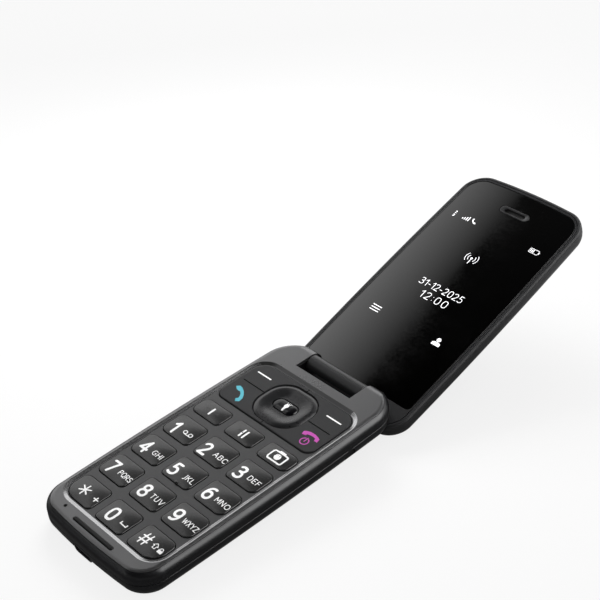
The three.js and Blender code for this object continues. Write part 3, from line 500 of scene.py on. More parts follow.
class Workshop:
    """Places finished pieces on the frame."""

    def __init__(self) -> None:
        """Read the stand and build the shared effects."""
        self.stand = Stand.read()
        self.effects = Effects()
        self.placing = {Half.BASE: self.stand.base(), Half.LID: self.stand.lid()}

    def piece(self, name: str, shape: Solid, half: Half, look: Look, body: str,
              replaced: Iterable[str] = (), angle: float = 30.0) -> None:
        """Set a body in its place with its finish.

        Args:
            name: The piece's name.
            shape: Its body, in millimetres.
            half: The half that it is drawn in.
            look: Its finish.
            body: The CAD body that it rides on.
            replaced: CAD nodes that it stands for.
            angle: Edges sharper than this stay crisp, in degrees.
        """
        mesh = shape.mesh.copy()
        mesh.name = name
        mesh.transform(self.placing[half])
        mesh.shade_smooth()
        mesh.set_sharp_from_angle(angle=math.radians(angle))
        mesh.materials.clear()
        mesh.materials.append(look.value.material(self.effects))
        thing = linked(name, mesh)
        evened = thing.modifiers.new("evened_normals", "WEIGHTED_NORMAL")
        evened.keep_sharp = True
        evened.weight = 80
        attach(thing, body)
        if replaced:
            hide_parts(*replaced)
        log.info("%s: %d faces on %s", name, len(mesh.polygons), body)

    def pieces(self, half: Half, rows: Iterable[tuple[str, Solid, Look, str | None]]) -> None:
        """Set pieces on a half's own body: name, body, finish and the node it stands for."""
        for name, shape, look, node in rows:
            self.piece(name, shape, half, look, half.value, [node] if node else ())

    def dress(self, node: str, look: Look) -> None:
        """Give a CAD node that stays as it is its finish."""
        node_object = frame["nodes"][node]
        node_object.data.materials.clear()
        node_object.data.materials.append(look.value.material(self.effects))
        log.info("%s: dressed", node)


@dataclass
class Casing:
    """The crowned outline that both halves share, and the body of the base."""

    width: float = 54.0
    length: float = 110.0
    corner: float = 8.6
    hinge_corner: float = 11.5
    side_bulge: float = 0.8
    end_crown: float = 1.5
    hinge_end: float = 5.0
    base_thickness: float = 10.0
    top_round: float = 3.0
    back_round: float = 4.5
    plate_inset: float = 1.7
    plate_thickness: float = 1.25
    notch_width: float = 25.4
    notch_depth: float = 7.15
    notch_wall: float = 1.1
    sill_edge: float = -3.3
    knuckle_sweep: float = 5.236
    slice_margin: float = 0.6
    slice_step: float = 0.01

    @property
    def half_width(self) -> float:
        """Half the width."""
        return self.width / 2

    @property
    def key_end(self) -> float:
        """Where the keypad end lies."""
        return self.hinge_end - self.length

    @property
    def middle_y(self) -> float:
        """The middle of the length."""
        return (self.hinge_end + self.key_end) / 2

    def crowned(self, x: float, y: float) -> Point:
        """Return a point of a straight outline bent to the bulged sides and crowned ends."""
        half_length = self.length / 2
        across = 1 - self.side_bulge / self.half_width * (y / half_length) ** 2
        along = 1 - self.end_crown / half_length * (x / self.half_width) ** 2
        return x * across, y * along + self.middle_y

    def outline(self, inset: float, beside_hinge: float | None = None) -> Outline:
        """Return the crowned outline, drawn in evenly.

        Args:
            inset: How far it is drawn in.
            beside_hinge: The radius of both corners beside the hinge; None means the base's.

        Returns:
            Its points.
        """
        beside = self.hinge_corner if beside_hinge is None else beside_hinge
        radii = [radius - inset for radius in (self.corner, beside, beside, self.corner)]
        plain = rounded(self.half_width - inset, self.length / 2 - inset, radii, 20, 12, 8)
        return [self.crowned(x, y) for x, y in plain]

    def lid_outline(self, inset: float) -> Outline:
        """Return the lid's outline, whose four corners are alike."""
        return self.outline(inset, self.corner)

    def rounded_body(self, wall: float, low: float, high: float, low_round: float,
                     high_round: float,
                     beside_hinge: float | None = None) -> Solid:
        """Round the outline's lower and upper edges, drawn in by a wall.

        Args:
            wall: How far it is drawn in on all sides.
            low: Its bottom.
            high: Its top.
            low_round: The radius of the lower edge.
            high_round: The radius of the upper edge.
            beside_hinge: The radius of both corners beside the hinge.

        Returns:
            The body.
        """
        rings = [(self.outline(wall + inset, beside_hinge), low + wall + rise)
                 for inset, rise in quarter(low_round - wall, 12)]
        rings += [(self.outline(wall + inset, beside_hinge), high - wall - rise)
                  for inset, rise in reversed(quarter(high_round - wall, 12))]
        return Solid.loft(rings)

    def end_profile(self, radius: float, top: float) -> Solid:
        """Return the room of a half round about the hinge line that runs on under the keys."""
        points = arc((0.0, self.hinge_end), radius, 32, -math.pi / 2, math.pi)
        points += [(self.key_end - FAR, top), (self.key_end - FAR, 2 * self.hinge_end - top)]
        return Solid.across(points, -FAR, FAR)

    def base_body(self, wall: float = 0.0) -> Solid:
        """Return the whole base, drawn in by a wall."""
        skin = self.rounded_body(wall, 0.0, self.base_thickness, self.back_round, self.top_round)
        return skin.within(self.end_profile(self.hinge_end - wall, self.base_thickness - wall))

    def notch_room(self, extra: float) -> Solid:
        """Return the hinge notch, grown by extra."""
        half = self.notch_width / 2 + extra
        return Solid.slab((-half, half), (-self.notch_depth - extra, FAR), -FAR, FAR)

    def notch_sill(self) -> Solid:
        """Return the sill that closes the notch from below, hollowed along the knuckle's sweep."""
        half = self.notch_width / 2
        step = Solid.slab((-half, half), (-self.notch_depth, self.sill_edge), -FAR, self.hinge_end)
        return step.cut(Solid.axle(self.knuckle_sweep, -FAR, FAR, self.hinge_end))

    def under_plate(self, gap: float) -> Solid:
        """Return everything below the front plate."""
        return self.end_profile(self.hinge_end - self.plate_thickness - gap,
                                self.base_thickness - self.plate_thickness - gap)

    def softened(self, low: float, high: float, low_round: float, high_round: float) -> Solid:
        """Return a slice through the whole outline; an edge with a radius is softened."""
        wide = self.outline(-self.slice_margin)
        lower: list[Ring] = []
        upper: list[Ring] = []
        if low_round:
            lower = [(self.outline(inset), low + rise) for inset, rise in quarter(low_round, 4)]
            low = low + low_round + self.slice_step
        if high_round:
            upper = [(self.outline(inset), high - rise)
                     for inset, rise in reversed(quarter(high_round, 4))]
            high = high - high_round - self.slice_step
        return Solid.loft([*lower, (wide, low), (wide, high), *upper])


@dataclass
class KeyHole:
    """A hole in the deck, with its corner radii from the right front corner round."""

    name: str
    x: float
    y: float
    width: float
    height: float
    radii: tuple[float, float, float, float]

    def outline(self, grow: float, softest: float = 0.4, steps: int = 10,
                along: int = 1) -> Outline:
        """Return the hole's outline, grown or drawn in, with some pieces along each side."""
        radii = [max(radius + grow, softest) for radius in self.radii]
        shape = rounded(self.width / 2 + grow, self.height / 2 + grow, radii, steps, along, along)
        return moved(shape, self.x, self.y)


@dataclass
class KeyGrid:
    """The places of all keys in the deck."""

    casing: Casing
    deck_corner: float = 5.8
    deck_margin: float = 0.35
    side_inset: float = 4.2
    top_y: float = -12.05
    floor_y: float = -96.75
    column_web: float = 2.55
    row_web: float = 2.53
    middle_width: float = 13.0
    memory_height: float = 7.9
    block_height: float = 22.6
    block_corner: float = 3.4
    key_corner: float = 1.8
    outer_corner: float = 2.6

    @property
    def half_width(self) -> float:
        """Half the deck's width."""
        return self.casing.half_width - self.side_inset

    @property
    def block_bottom(self) -> float:
        """The lower edge of the function keys."""
        return self.top_y - self.deck_margin - self.block_height

    @property
    def block_y(self) -> float:
        """The middle of the function keys."""
        return self.block_bottom + self.block_height / 2

    def deck_outline(self, grow: float) -> Outline:
        """Return the outline of the sunk deck, grown."""
        half_y = (self.top_y - self.floor_y) / 2
        shape = rounded(self.half_width + grow, half_y + grow, [self.deck_corner + grow] * 4, 20)
        return moved(shape, 0.0, (self.floor_y + self.top_y) / 2)

    def block(self) -> KeyHole:
        """Return the hole of the function keys."""
        upper = self.deck_corner - self.deck_margin
        return KeyHole("function_block", 0.0, self.block_y,
                       2 * (self.half_width - self.deck_margin),
                       self.block_height, (self.block_corner, upper, upper, self.block_corner))

    def key(self, name: str, column: int, y: float, height: float, last: bool) -> KeyHole:
        """Return the hole of one key."""
        outer_width = self.half_width - self.deck_margin - self.column_web - self.middle_width / 2
        x = column * ((self.middle_width + outer_width) / 2 + self.column_web)
        outer = self.deck_corner - self.deck_margin if last else self.outer_corner
        radii = (outer if column > 0 else self.key_corner,
                 self.outer_corner if column > 0 else self.key_corner,
                 self.outer_corner if column < 0 else self.key_corner,
                 outer if column < 0 else self.key_corner)
        return KeyHole(name, x, y, outer_width if column else self.middle_width, height, radii)

    def keys(self) -> list[KeyHole]:
        """Return all press keys, from the memory keys down."""
        memory_y = self.block_bottom - self.column_web - self.memory_height / 2
        found = [self.key(name, column - 1, memory_y, self.memory_height, False)
                 for column, name in enumerate(("memory_key_1", "memory_key_2", "camera_key"))]
        top = memory_y - self.memory_height / 2 - self.column_web
        height = (top - self.floor_y - self.deck_margin - 3 * self.row_web) / 4
        for index, label in enumerate("1 2 3 4 5 6 7 8 9 star 0 hash".split()):
            y = top - height / 2 - (index // 3) * (height + self.row_web)
            found.append(self.key(f"key_{label}", index % 3 - 1, y, height, index // 3 == 3))
        return found


@dataclass
class Fascia:
    """The front plate: a satin metal-look face with a sunk deck, and the rubber strip on it."""

    casing: Casing
    grid: KeyGrid
    deck_drop: float = 0.55
    rim_run: float = 1.3
    rim_softness: float = 0.3
    rim_depth: float = 0.15
    # The box round the hinge-side rim, given as left edge, right edge and near edge; that part of
    # the rim gets painted shade.
    shaded_rim_box: tuple[float, float, float] = (-30.0, 18.5, -14.5)
    mic_place: Point = (-15.5, -99.8)
    mic_radius: float = 0.6
    boss_places: tuple[Point, ...] = ((-19.0, -98.9), (19.0, -98.9), (-19.0, -6.0), (19.0, -6.0))
    boss_radius: float = 1.8
    screw_radius: float = 0.6
    board_bottom: float = 5.9
    strip_width: float = 1.3
    strip_length: float = 19.0
    strip_height: float = 0.4
    strip_seat: float = 0.45
    strip_inset: float = 4.1

    @property
    def top(self) -> float:
        """The face's height."""
        return self.casing.base_thickness

    def pocket(self) -> Solid:
        """Return the sunk deck, whose rim rolls over from the face."""
        rings: list[Ring] = []
        for step in range(13):
            share = step / 12
            climb = share + self.rim_softness * (share * share * (3 - 2 * share) - share)
            rings.append((self.grid.deck_outline(self.rim_run * share),
                          self.top - self.deck_drop * (1 - climb)))
        rings.append((rings[-1][0], self.top + self.deck_drop))
        return Solid.loft(rings)

    def plate(self) -> Solid:
        """Return the plate with every hole."""
        casing = self.casing
        edge = Solid.prism(casing.outline(casing.plate_inset), casing.hinge_end, FAR)
        keys = [Solid.prism(hole.outline(0.0), 0.0, FAR) for hole in self.grid.keys()]
        seat = Solid.prism(self.strip_outline(FINE_GAP), self.top - self.strip_seat - FINE_GAP, FAR)
        shell = casing.base_body().within(edge)
        shell = shell.cut(casing.under_plate(0.0), casing.notch_room(0.0), self.pocket())
        shell = shell.cut(Solid.prism(self.grid.block().outline(0.0), 0.0, FAR), *keys)
        shell = shell.cut(Solid.post(*self.mic_place, self.mic_radius, 0.0, FAR)).cut(seat)
        bottom = self.top - casing.plate_thickness
        posts = [Solid.post(x, y, self.boss_radius, self.board_bottom, bottom + FINE_GAP)
                 for x, y in self.boss_places]
        bores = [Solid.post(x, y, self.screw_radius + FINE_GAP, 0.0, bottom)
                 for x, y in self.boss_places]
        return shell.add(*posts).cut(*bores)

    def rim_room(self, deck: Solid) -> Solid:
        """Return the room of the polished slope round the deck, whose bright finish is partly a
        painted highlight.
        """
        low = self.top - self.deck_drop - self.rim_depth
        outer = Solid.prism(self.grid.deck_outline(self.rim_run), low, self.top + 1.0)
        return outer.cut(deck)

    def strip_outline(self, grow: float) -> Outline:
        """Return the outline of the rubber strip."""
        shape = pill(self.strip_length + 2 * grow, self.strip_width + 2 * grow)
        return moved(shape, 0.0, self.casing.key_end + self.strip_inset)

    def strip(self) -> Solid:
        """Return the crowned rubber strip."""
        foot = (self.strip_outline(0.0), self.top - self.strip_seat)
        high = self.top + self.strip_height
        return Solid.loft([foot, *edge_over(self.strip_outline, 0.0, high, self.strip_height, 8)])

    def build(self, shop: Workshop) -> None:
        """Set the plate and its strip in place."""
        deck = Solid.prism(self.grid.deck_outline(0.0), 0.0, FAR)
        plate, room = self.plate(), self.rim_room(deck)
        # The sunk deck and the hinge-side rim get the darker copy of the finish as painted shade;
        # the rest of the rim gets a bright finish that is partly painted highlight.
        rim, (left, right, low) = plate.within(room), self.shaded_rim_box
        shaded_part = Solid.slab((left, right), (low, -low), 0.0, FAR)
        shop.pieces(Half.BASE, (
            ("fascia_plate", plate.cut(room, deck), Look.FASCIA, "front_plate"),
            ("fascia_deck", plate.cut(room).within(deck), Look.DECK, None),
            ("fascia_polished_rim", rim.cut(shaded_part), Look.RIM, None),
            ("fascia_hinge_side_rim", rim.within(shaded_part), Look.DECK, None),
            ("rubber_rest_strip", self.strip(), Look.RUBBER, "rest_bumper")))


@dataclass
class BackShell:
    """The black middle frame with the hinge shoulders, and the back cover under it."""

    casing: Casing
    fascia: Fascia
    cover_height: float = 5.5
    seam: float = 0.2
    edge_round: float = 0.14
    wall: float = 1.1
    screw_head_radius: float = 1.4
    slice_low: float = -1.0
    slice_high: float = 40.0
    ledge: float = 2.6
    floor_low: float = 4.9
    floor_top: float = 5.6
    lip: float = 0.5
    bay_half_width: float = 18.0
    bay_wall: float = 0.8
    battery_end: float = -34.0
    battery_inset: float = 20.8
    hinge_reach: float = 18.26
    module_radius: float = 2.1
    pin_radius: float = 1.1
    socket_place: Point = (-2.0, 2.9)
    socket_size: Point = (9.0, 3.2)
    socket_depth: float = 7.0
    speaker_place: Point = (11.0, -92.4)
    sound_hole_radius: float = 0.6
    sound_hole_pitch: float = 2.4
    nail_width: float = 4.7
    nail_y: float = -21.0
    nail_depth: float = 0.9

    @property
    def rim_bottom(self) -> float:
        """The lower edge of the middle frame's outer rim."""
        return self.cover_height + self.seam

    def bay(self, grow: float) -> Outline:
        """Return the battery bay's outline."""
        low = self.casing.key_end + self.battery_inset
        half_y = (self.battery_end - low) / 2
        shape = rounded(self.bay_half_width + grow, half_y + grow, [2.0] * 4, 6)
        return moved(shape, 0.0, (low + self.battery_end) / 2)

    def socket(self, grow: float) -> Outline:
        """Return the outline of the socket opening, drawn as (x, z)."""
        shape = pill(self.socket_size[0] + 2 * grow, self.socket_size[1] + 2 * grow)
        return moved(shape, *self.socket_place)

    def inside(self) -> Solid:
        """Return what lies inside the back cover: lip, floor, shoulders and battery bay."""
        casing, wide = self.casing, (-FAR, FAR)
        ring = Solid.slab(wide, wide, min(self.floor_low, self.rim_bottom - self.lip),
                          max(self.floor_top, self.rim_bottom + self.lip))
        ring = ring.cut(Solid.prism(casing.outline(self.ledge), 0.0, FAR))
        floor = Solid.slab(wide, wide, self.floor_low, self.floor_top)
        shoulders = Solid.slab(wide, (-casing.notch_depth, FAR), 0.0, self.floor_top)
        bay = Solid.prism(self.bay(PART_GAP + self.bay_wall), 0.0, self.floor_top)
        return casing.base_body(self.wall + PART_GAP).within(ring.add(floor, shoulders, bay))

    def housing(self) -> Solid:
        """Return the middle frame."""
        casing = self.casing
        plate_room = Solid.prism(casing.outline(casing.plate_inset - FINE_GAP), casing.hinge_end,
                                 FAR)
        plate_room = plate_room.cut(casing.under_plate(PART_GAP))
        board_end = -casing.notch_depth - casing.notch_wall - self.seam
        board_room = Solid.prism(casing.outline(self.ledge), self.floor_top, FAR)
        board_room = board_room.cut(Solid.slab((-FAR, FAR), (board_end, FAR), 0.0, FAR))
        rim = casing.softened(self.rim_bottom, self.slice_high, self.edge_round, 0.0)
        rim = rim.cut(Solid.prism(casing.outline(self.ledge), 0.0, self.floor_low))
        socket_end = casing.key_end + self.wall / 2 + self.socket_depth + PART_GAP
        barrel_end = -casing.notch_width / 2 - casing.notch_wall
        shell = casing.base_body().within(rim.add(casing.notch_room(casing.notch_wall)))
        shell = shell.add(self.inside())
        shell = shell.cut(Solid.lengthwise(self.socket(PART_GAP), casing.key_end, socket_end),
                          Solid.prism(self.bay(PART_GAP), 0.0, self.floor_low), plate_room,
                          board_room,
                          casing.notch_room(0.0).cut(casing.notch_sill()),
                          Solid.axle(self.module_radius + PART_GAP, -self.hinge_reach, barrel_end,
                                     casing.hinge_end),
                          Solid.axle(self.pin_radius + PART_GAP, -self.hinge_reach,
                                     self.hinge_reach,
                                     casing.hinge_end))
        bores = ((self.fascia.boss_radius, self.floor_top, FAR),
                 (self.fascia.screw_radius, 0.0, FAR),
                 (self.screw_head_radius, 0.0, self.floor_low))
        return shell.cut(*[Solid.post(x, y, radius + PART_GAP, low, high)
                           for x, y in self.fascia.boss_places for radius, low, high in bores])

    def cover(self) -> Solid:
        """Return the back cover: a deep tray with socket opening, nail notch and sound holes."""
        casing = self.casing
        socket = Solid.lengthwise(self.socket(PART_GAP), casing.key_end - FAR,
                                  casing.key_end + casing.back_round)
        outside = casing.softened(self.slice_low, self.cover_height, 0.0, self.edge_round)
        tray = casing.base_body().within(outside)
        tray = tray.cut(casing.base_body(self.wall),
                        casing.notch_room(casing.notch_wall + self.seam),
                        socket, self.nail_notch())
        x, y = self.speaker_place
        return tray.cut(*[Solid.post(x + hole * self.sound_hole_pitch, y, self.sound_hole_radius,
                                     -FAR,
                                     self.wall + FINE_GAP) for hole in range(-2, 3)])

    def nail_notch(self) -> Solid:
        """Return the thumbnail notch, open into the seam."""
        radius = self.nail_width / 2
        points = arc((self.nail_y, self.rim_bottom - radius), radius, 24, 0.0, math.pi)
        points += [(self.nail_y - radius, -FAR), (self.nail_y + radius, -FAR)]
        return Solid.across(points, self.casing.half_width - self.nail_depth, FAR)

    def build(self, shop: Workshop) -> None:
        """Set the middle frame and the back cover in place."""
        shop.pieces(Half.BASE, (("middle_frame", self.housing(), Look.SHELL, "base_housing"),
                                ("back_cover", self.cover(), Look.SHELL, "battery_cover")))


CALL_SIGN: Outline = [
    (-18.26, -28.72), (-17.24, -28.9), (-16.55, -28.75), (-15.58, -29.44), (-14.79, -30.45),
    (-14.48, -31.42), (-15.04, -32.08), (-14.14, -33.21), (-12.95, -32.36), (-13.21, -30.73),
    (-14.18, -29.27), (-15.56, -28.0), (-17.29, -27.04), (-18.6, -26.8), (-19.54, -27.81)]
END_SIGN: Outline = [
    (13.61, -29.25), (15.09, -28.91), (15.13, -28.29), (15.99, -28.01), (17.19, -27.86),
    (18.41, -27.97), (18.92, -29.02), (20.2, -29.0), (19.81, -27.48), (18.85, -27.05),
    (17.08, -26.65), (15.36, -26.76), (14.08, -27.2), (13.2, -27.86)]

GLYPHS: dict[str, str] = {
    "0": "M.32,1 C.04,1 0,.78 0,.5 C0,.22 .04,0 .32,0 C.6,0 .64,.22 .64,.5 C.64,.78 .6,1 .32,1",
    "1": "M.06,.76 L.36,1 L.36,0",
    "2": "M.02,.84 C.1,.95 .2,1 .31,1 C.52,1 .6,.88 .6,.74 C.6,.55 .4,.4 .02,0 L.64,0",
    "3": "M.04,.92 C.12,.98 .2,1 .3,1 C.48,1 .58,.9 .58,.77 C.58,.62 .46,.53 .22,.53 M.22,.53 "
         "C.5,.53 .62,.42 .62,.27 C.62,.1 .48,0 .28,0 C.18,0 .08,.03 0,.09",
    "4": "M.5,0 L.5,1 L0,.28 L.68,.28",
    "5": "M.56,1 L.13,1 L.09,.57 C.14,.6 .2,.62 .28,.62 C.48,.62 .62,.5 .62,.31 C.62,.12 .48,0 "
         ".27,0 C.17,0 .08,.03 0,.08",
    "6": "M.58,.96 C.2,1.05 0,.76 0,.36 C0,.12 .12,0 .33,0 C.52,0 .64,.13 .64,.32 C.64,.5 "
         ".52,.61 .35,.61 C.2,.61 .06,.52 0,.36",
    "7": "M0,1 L.62,1 L.2,0",
    "8": "M.32,.53 C.14,.53 .05,.64 .05,.77 C.05,.91 .16,1 .32,1 C.48,1 .59,.91 .59,.77 "
         "C.59,.64 .5,.53 .32,.53 C.12,.53 0,.42 0,.27 C0,.1 .13,0 .32,0 C.51,0 .64,.1 .64,.27 "
         "C.64,.42 .52,.53 .32,.53",
    "9": "M.06,.04 C.44,-.05 .64,.24 .64,.64 C.64,.88 .52,1 .31,1 C.12,1 0,.87 0,.68 C0,.5 "
         ".12,.39 .29,.39 C.44,.39 .58,.48 .64,.64",
    "A": "M0,0 L.36,1 L.72,0 M.13,.34 L.59,.34",
    "B": "M0,0 L0,1 L.3,1 C.48,1 .54,.9 .54,.77 C.54,.63 .46,.54 .3,.54 L0,.54 M.3,.54 C.52,.54 "
         ".6,.43 .6,.28 C.6,.1 .5,0 .3,0 L0,0",
    "C": "M.62,.9 C.54,.97 .46,1 .36,1 C.12,1 0,.78 0,.5 C0,.22 .12,0 .36,0 C.46,0 .54,.03 "
         ".62,.1",
    "D": "M0,0 L0,1 L.26,1 C.54,1 .66,.8 .66,.5 C.66,.2 .54,0 .26,0 L0,0",
    "E": "M.5,1 L0,1 L0,0 L.5,0 M0,.52 L.44,.52",
    "F": "M.5,1 L0,1 L0,0 M0,.52 L.44,.52",
    "G": "M.62,.9 C.54,.97 .46,1 .36,1 C.12,1 0,.78 0,.5 C0,.22 .12,0 .36,0 C.48,0 .58,.04 "
         ".66,.1 L.66,.46 L.4,.46",
    "H": "M0,0 L0,1 M.62,0 L.62,1 M0,.52 L.62,.52",
    "I": "M0,0 L0,1",
    "J": "M.24,1 L.24,.1 C.24,-.05 .16,-.12 0,-.14",
    "K": "M0,0 L0,1 M.56,1 L0,.46 M.17,.6 L.6,0",
    "L": "M0,1 L0,0 L.5,0",
    "M": "M0,0 L0,1 L.38,.3 L.76,1 L.76,0",
    "N": "M0,0 L0,1 L.62,0 L.62,1",
    "O": "M.37,1 C.12,1 0,.8 0,.5 C0,.2 .12,0 .37,0 C.62,0 .74,.2 .74,.5 C.74,.8 .62,1 .37,1",
    "P": "M0,0 L0,1 L.28,1 C.48,1 .56,.88 .56,.73 C.56,.56 .46,.45 .28,.45 L0,.45",
    "S": "M.52,.92 C.44,.98 .36,1 .28,1 C.12,1 .02,.9 .02,.76 C.02,.6 .14,.55 .28,.5 C.44,.45 "
         ".56,.38 .56,.24 C.56,.1 .44,0 .27,0 C.17,0 .08,.03 0,.09",
    "T": "M0,1 L.6,1 M.3,1 L.3,0",
    "U": "M0,1 L0,.32 C0,.12 .1,0 .3,0 C.5,0 .6,.12 .6,.32 L.6,1",
    "V": "M0,1 L.34,0 L.68,1",
    "W": "M0,1 L.25,0 L.5,.86 L.75,0 L1,1",
    "X": "M0,1 L.6,0 M.6,1 L0,0",
    "Y": "M0,1 L.32,.48 L.64,1 M.32,.48 L.32,0",
    "Z": "M0,1 L.58,1 L0,0 L.6,0",
    "-": "M.04,.42 L.36,.42",
    ":": "M.06,.2 L.06,.21 M.06,.68 L.06,.69",
    "*": "M.36,1 L.36,.1 M-.03,.78 L.75,.32 M.75,.78 L-.03,.32",
    "#": "M.24,1 L.1,0 M.64,1 L.5,0 M-.02,.68 L.76,.68 M-.08,.3 L.7,.3",
    "+": "M.3,.86 L.3,.14 M-.06,.5 L.66,.5",
    "_": "M0,.3 L0,0 L.9,0 L.9,.3",
}
GLYPHS["Q"] = f"{GLYPHS['O']} M.44,.2 L.72,-.1"
GLYPHS["R"] = f"{GLYPHS['P']} M.28,.45 L.58,0"


class Pen:
    """Draws strokes with round ends as thin sheets in millimetres."""

    LAYER_STEP = 0.003
    LAYERS = 6
    CURVE_PIECES = 12
    CAP_PIECES = 8
    DISC_SIDES = 24
    RAY_START = 60.0
    def __init__(self, gap: float = 0.7) -> None:
        """Start with nothing drawn; gap is the longest piece of a stroke."""
        self.gap = gap
        self.vertices: list[Place] = []
        self.faces: list[tuple[int, ...]] = []
        self.level = 0

    def layer(self) -> float:
        """Return the lift of the next shape, so that shapes that cross share no plane."""
        self.level += 1
        return self.LAYER_STEP * ((self.level - 1) % self.LAYERS)

    def strokes(self, path: str) -> list[Outline]:
        """Read a path of M, L and C steps.

        Args:
            path: The steps, with x,y pairs.

        Returns:
            Lists of points; a straight step ends a stroke, so that corners come out round.
        """
        found: list[Outline] = []
        current: Outline = []
        step = "M"
        held: Outline = []
        for word in path.replace("M", " M ").replace("L", " L ").replace("C", " C ").split():
            if word in "MLC":
                step = word
                held = []
                continue
            x, y = word.split(",")
            held.append((float(x), float(y)))
            if step == "M":
                current = [held[-1]]
            elif step == "L":
                if len(current) > 1:
                    found.append(current)
                found.append([current[-1], held[-1]])
                current = [held[-1]]
            elif len(held) == 3:
                p0, (p1, p2, p3) = current[-1], held
                for piece in range(1, self.CURVE_PIECES + 1):
                    t = piece / self.CURVE_PIECES
                    u = 1 - t
                    shares = (u ** 3, 3 * u * u * t, 3 * u * t * t, t ** 3)
                    current = current + [tuple(
                        sum(share * point[k] for share, point in zip(shares, (p0, p1, p2, p3)))
                        for k in (0, 1))]
                held = []
            if step == "C" and not held:
                if len(current) > 1 and found and found[-1] and found[-1][0] == current[0]:
                    found.pop()
                found.append(current)
        return found

    def stroke(self, points: Outline, width: float) -> None:
        """Draw one stroke with round ends."""
        dense: Outline = [points[0]]
        for (x0, y0), (x1, y1) in zip(points, points[1:]):
            pieces = max(1, math.ceil(math.hypot(x1 - x0, y1 - y0) / self.gap))
            dense += [(x0 + (x1 - x0) * n / pieces, y0 + (y1 - y0) * n / pieces)
                      for n in range(1, pieces + 1)]
        lift = self.layer()
        start = len(self.vertices)
        count = len(dense)
        ways = []
        for index in range(count):
            x0, y0 = dense[max(index - 1, 0)]
            x1, y1 = dense[min(index + 1, count - 1)]
            run = math.hypot(x1 - x0, y1 - y0) or 1.0
            ways.append(((x1 - x0) / run, (y1 - y0) / run))
        for (x, y), (dx, dy) in zip(dense, ways):
            self.vertices.append((x - dy * width / 2, y + dx * width / 2, lift))
            self.vertices.append((x + dy * width / 2, y - dx * width / 2, lift))
        for index in range(count - 1):
            a = start + 2 * index
            self.faces.append((a, a + 1, a + 3, a + 2))
        for index, turn in ((0, 1), (count - 1, -1)):
            first = math.atan2(ways[index][1], ways[index][0]) + turn * math.pi / 2
            cap = arc(dense[index], width / 2, self.CAP_PIECES, first, math.pi)
            self.polygon(cap, lift)

    def polygon(self, points: Outline, lift: float) -> None:
        """Add one face."""
        start = len(self.vertices)
        self.vertices += [(x, y, lift) for x, y in points]
        self.faces.append(tuple(range(start, start + len(points))))

    def fill(self, points: Outline) -> None:
        """Draw a filled shape whose points run counter-clockwise."""
        self.polygon(points, self.layer())

    def disc(self, x: float, y: float, radius: float) -> None:
        """Draw a filled round of two rings, which follows a dome."""
        lift = self.layer()
        start, sides = len(self.vertices), self.DISC_SIDES
        self.polygon(arc((x, y), radius / 2, sides), lift)
        self.vertices += [(px, py, lift) for px, py in arc((x, y), radius, sides)]
        for side in range(start, start + sides):
            after = side + 1 if side + 1 < start + sides else start
            self.faces.append((side, side + sides, after + sides, after))

    def path(self, path: str, x: float, y: float, scale: float, width: float) -> None:
        """Draw a path at a place, scaled."""
        for stroke in self.strokes(path):
            self.stroke([(x + px * scale, y + py * scale) for px, py in stroke], width)

    def text(self, words: str, centre: Point, height: float, width: float, space: float = 0.3,
             squeeze: float = 1.0, turned: int = 1) -> None:
        """Write words round a centre.

        Args:
            words: Figures, capitals and signs.
            centre: The middle of the writing.
            height: The full height of a figure.
            width: The width of the stroke.
            space: Room between letters, as a share of the height.
            squeeze: How much narrower the letters are drawn.
            turned: -1 where the writing is read from below its half.
        """
        tall = height - width
        spans = []
        for letter in words:
            path = GLYPHS.get(letter, "M0,0 L.3,0")
            reach = [px * squeeze for stroke in self.strokes(path) for px, _ in stroke]
            spans.append((min(reach), max(reach)))
        total = sum(high - low for low, high in spans) * tall + (len(words) - 1) * (space * height)
        x = -total / 2
        for letter, (low, high) in zip(words, spans):
            if letter in GLYPHS:
                for stroke in self.strokes(GLYPHS[letter]):
                    self.stroke([(centre[0] + (x + (px * squeeze - low) * tall),
                                  centre[1] + turned * ((py - 0.5) * tall)) for px, py in stroke],
                                  width)
            x += (high - low) * tall + space * height

    def sheet(self, under: Solid | None, level: float, lift: float = 0.035,
              facing: int = 1) -> Solid:
        """Lay what is drawn on a surface.

        Args:
            under: The body to lie on, or None for a flat place.
            level: The height of a flat place.
            lift: How far the sheet stands off.
            facing: 1 where the surface faces up, -1 where it faces down.

        Returns:
            The sheet.
        """
        tree = None
        if under:
            tree = BVHTree.FromPolygons([vertex.co for vertex in under.mesh.vertices],
                                        [polygon.vertices for polygon in under.mesh.polygons])
        places = []
        for x, y, rise in self.vertices:
            z = level
            if tree:
                start = Vector((x, y, self.RAY_START * facing))
                hit = tree.ray_cast(start, Vector((0.0, 0.0, -1.0 * facing)))[0]
                z = hit.z if hit else level
            places.append((x, y, z + facing * (lift + rise)))
        faces = self.faces if facing > 0 else [tuple(reversed(face)) for face in self.faces]
        return Solid(mesh_of("sheet", places, faces))


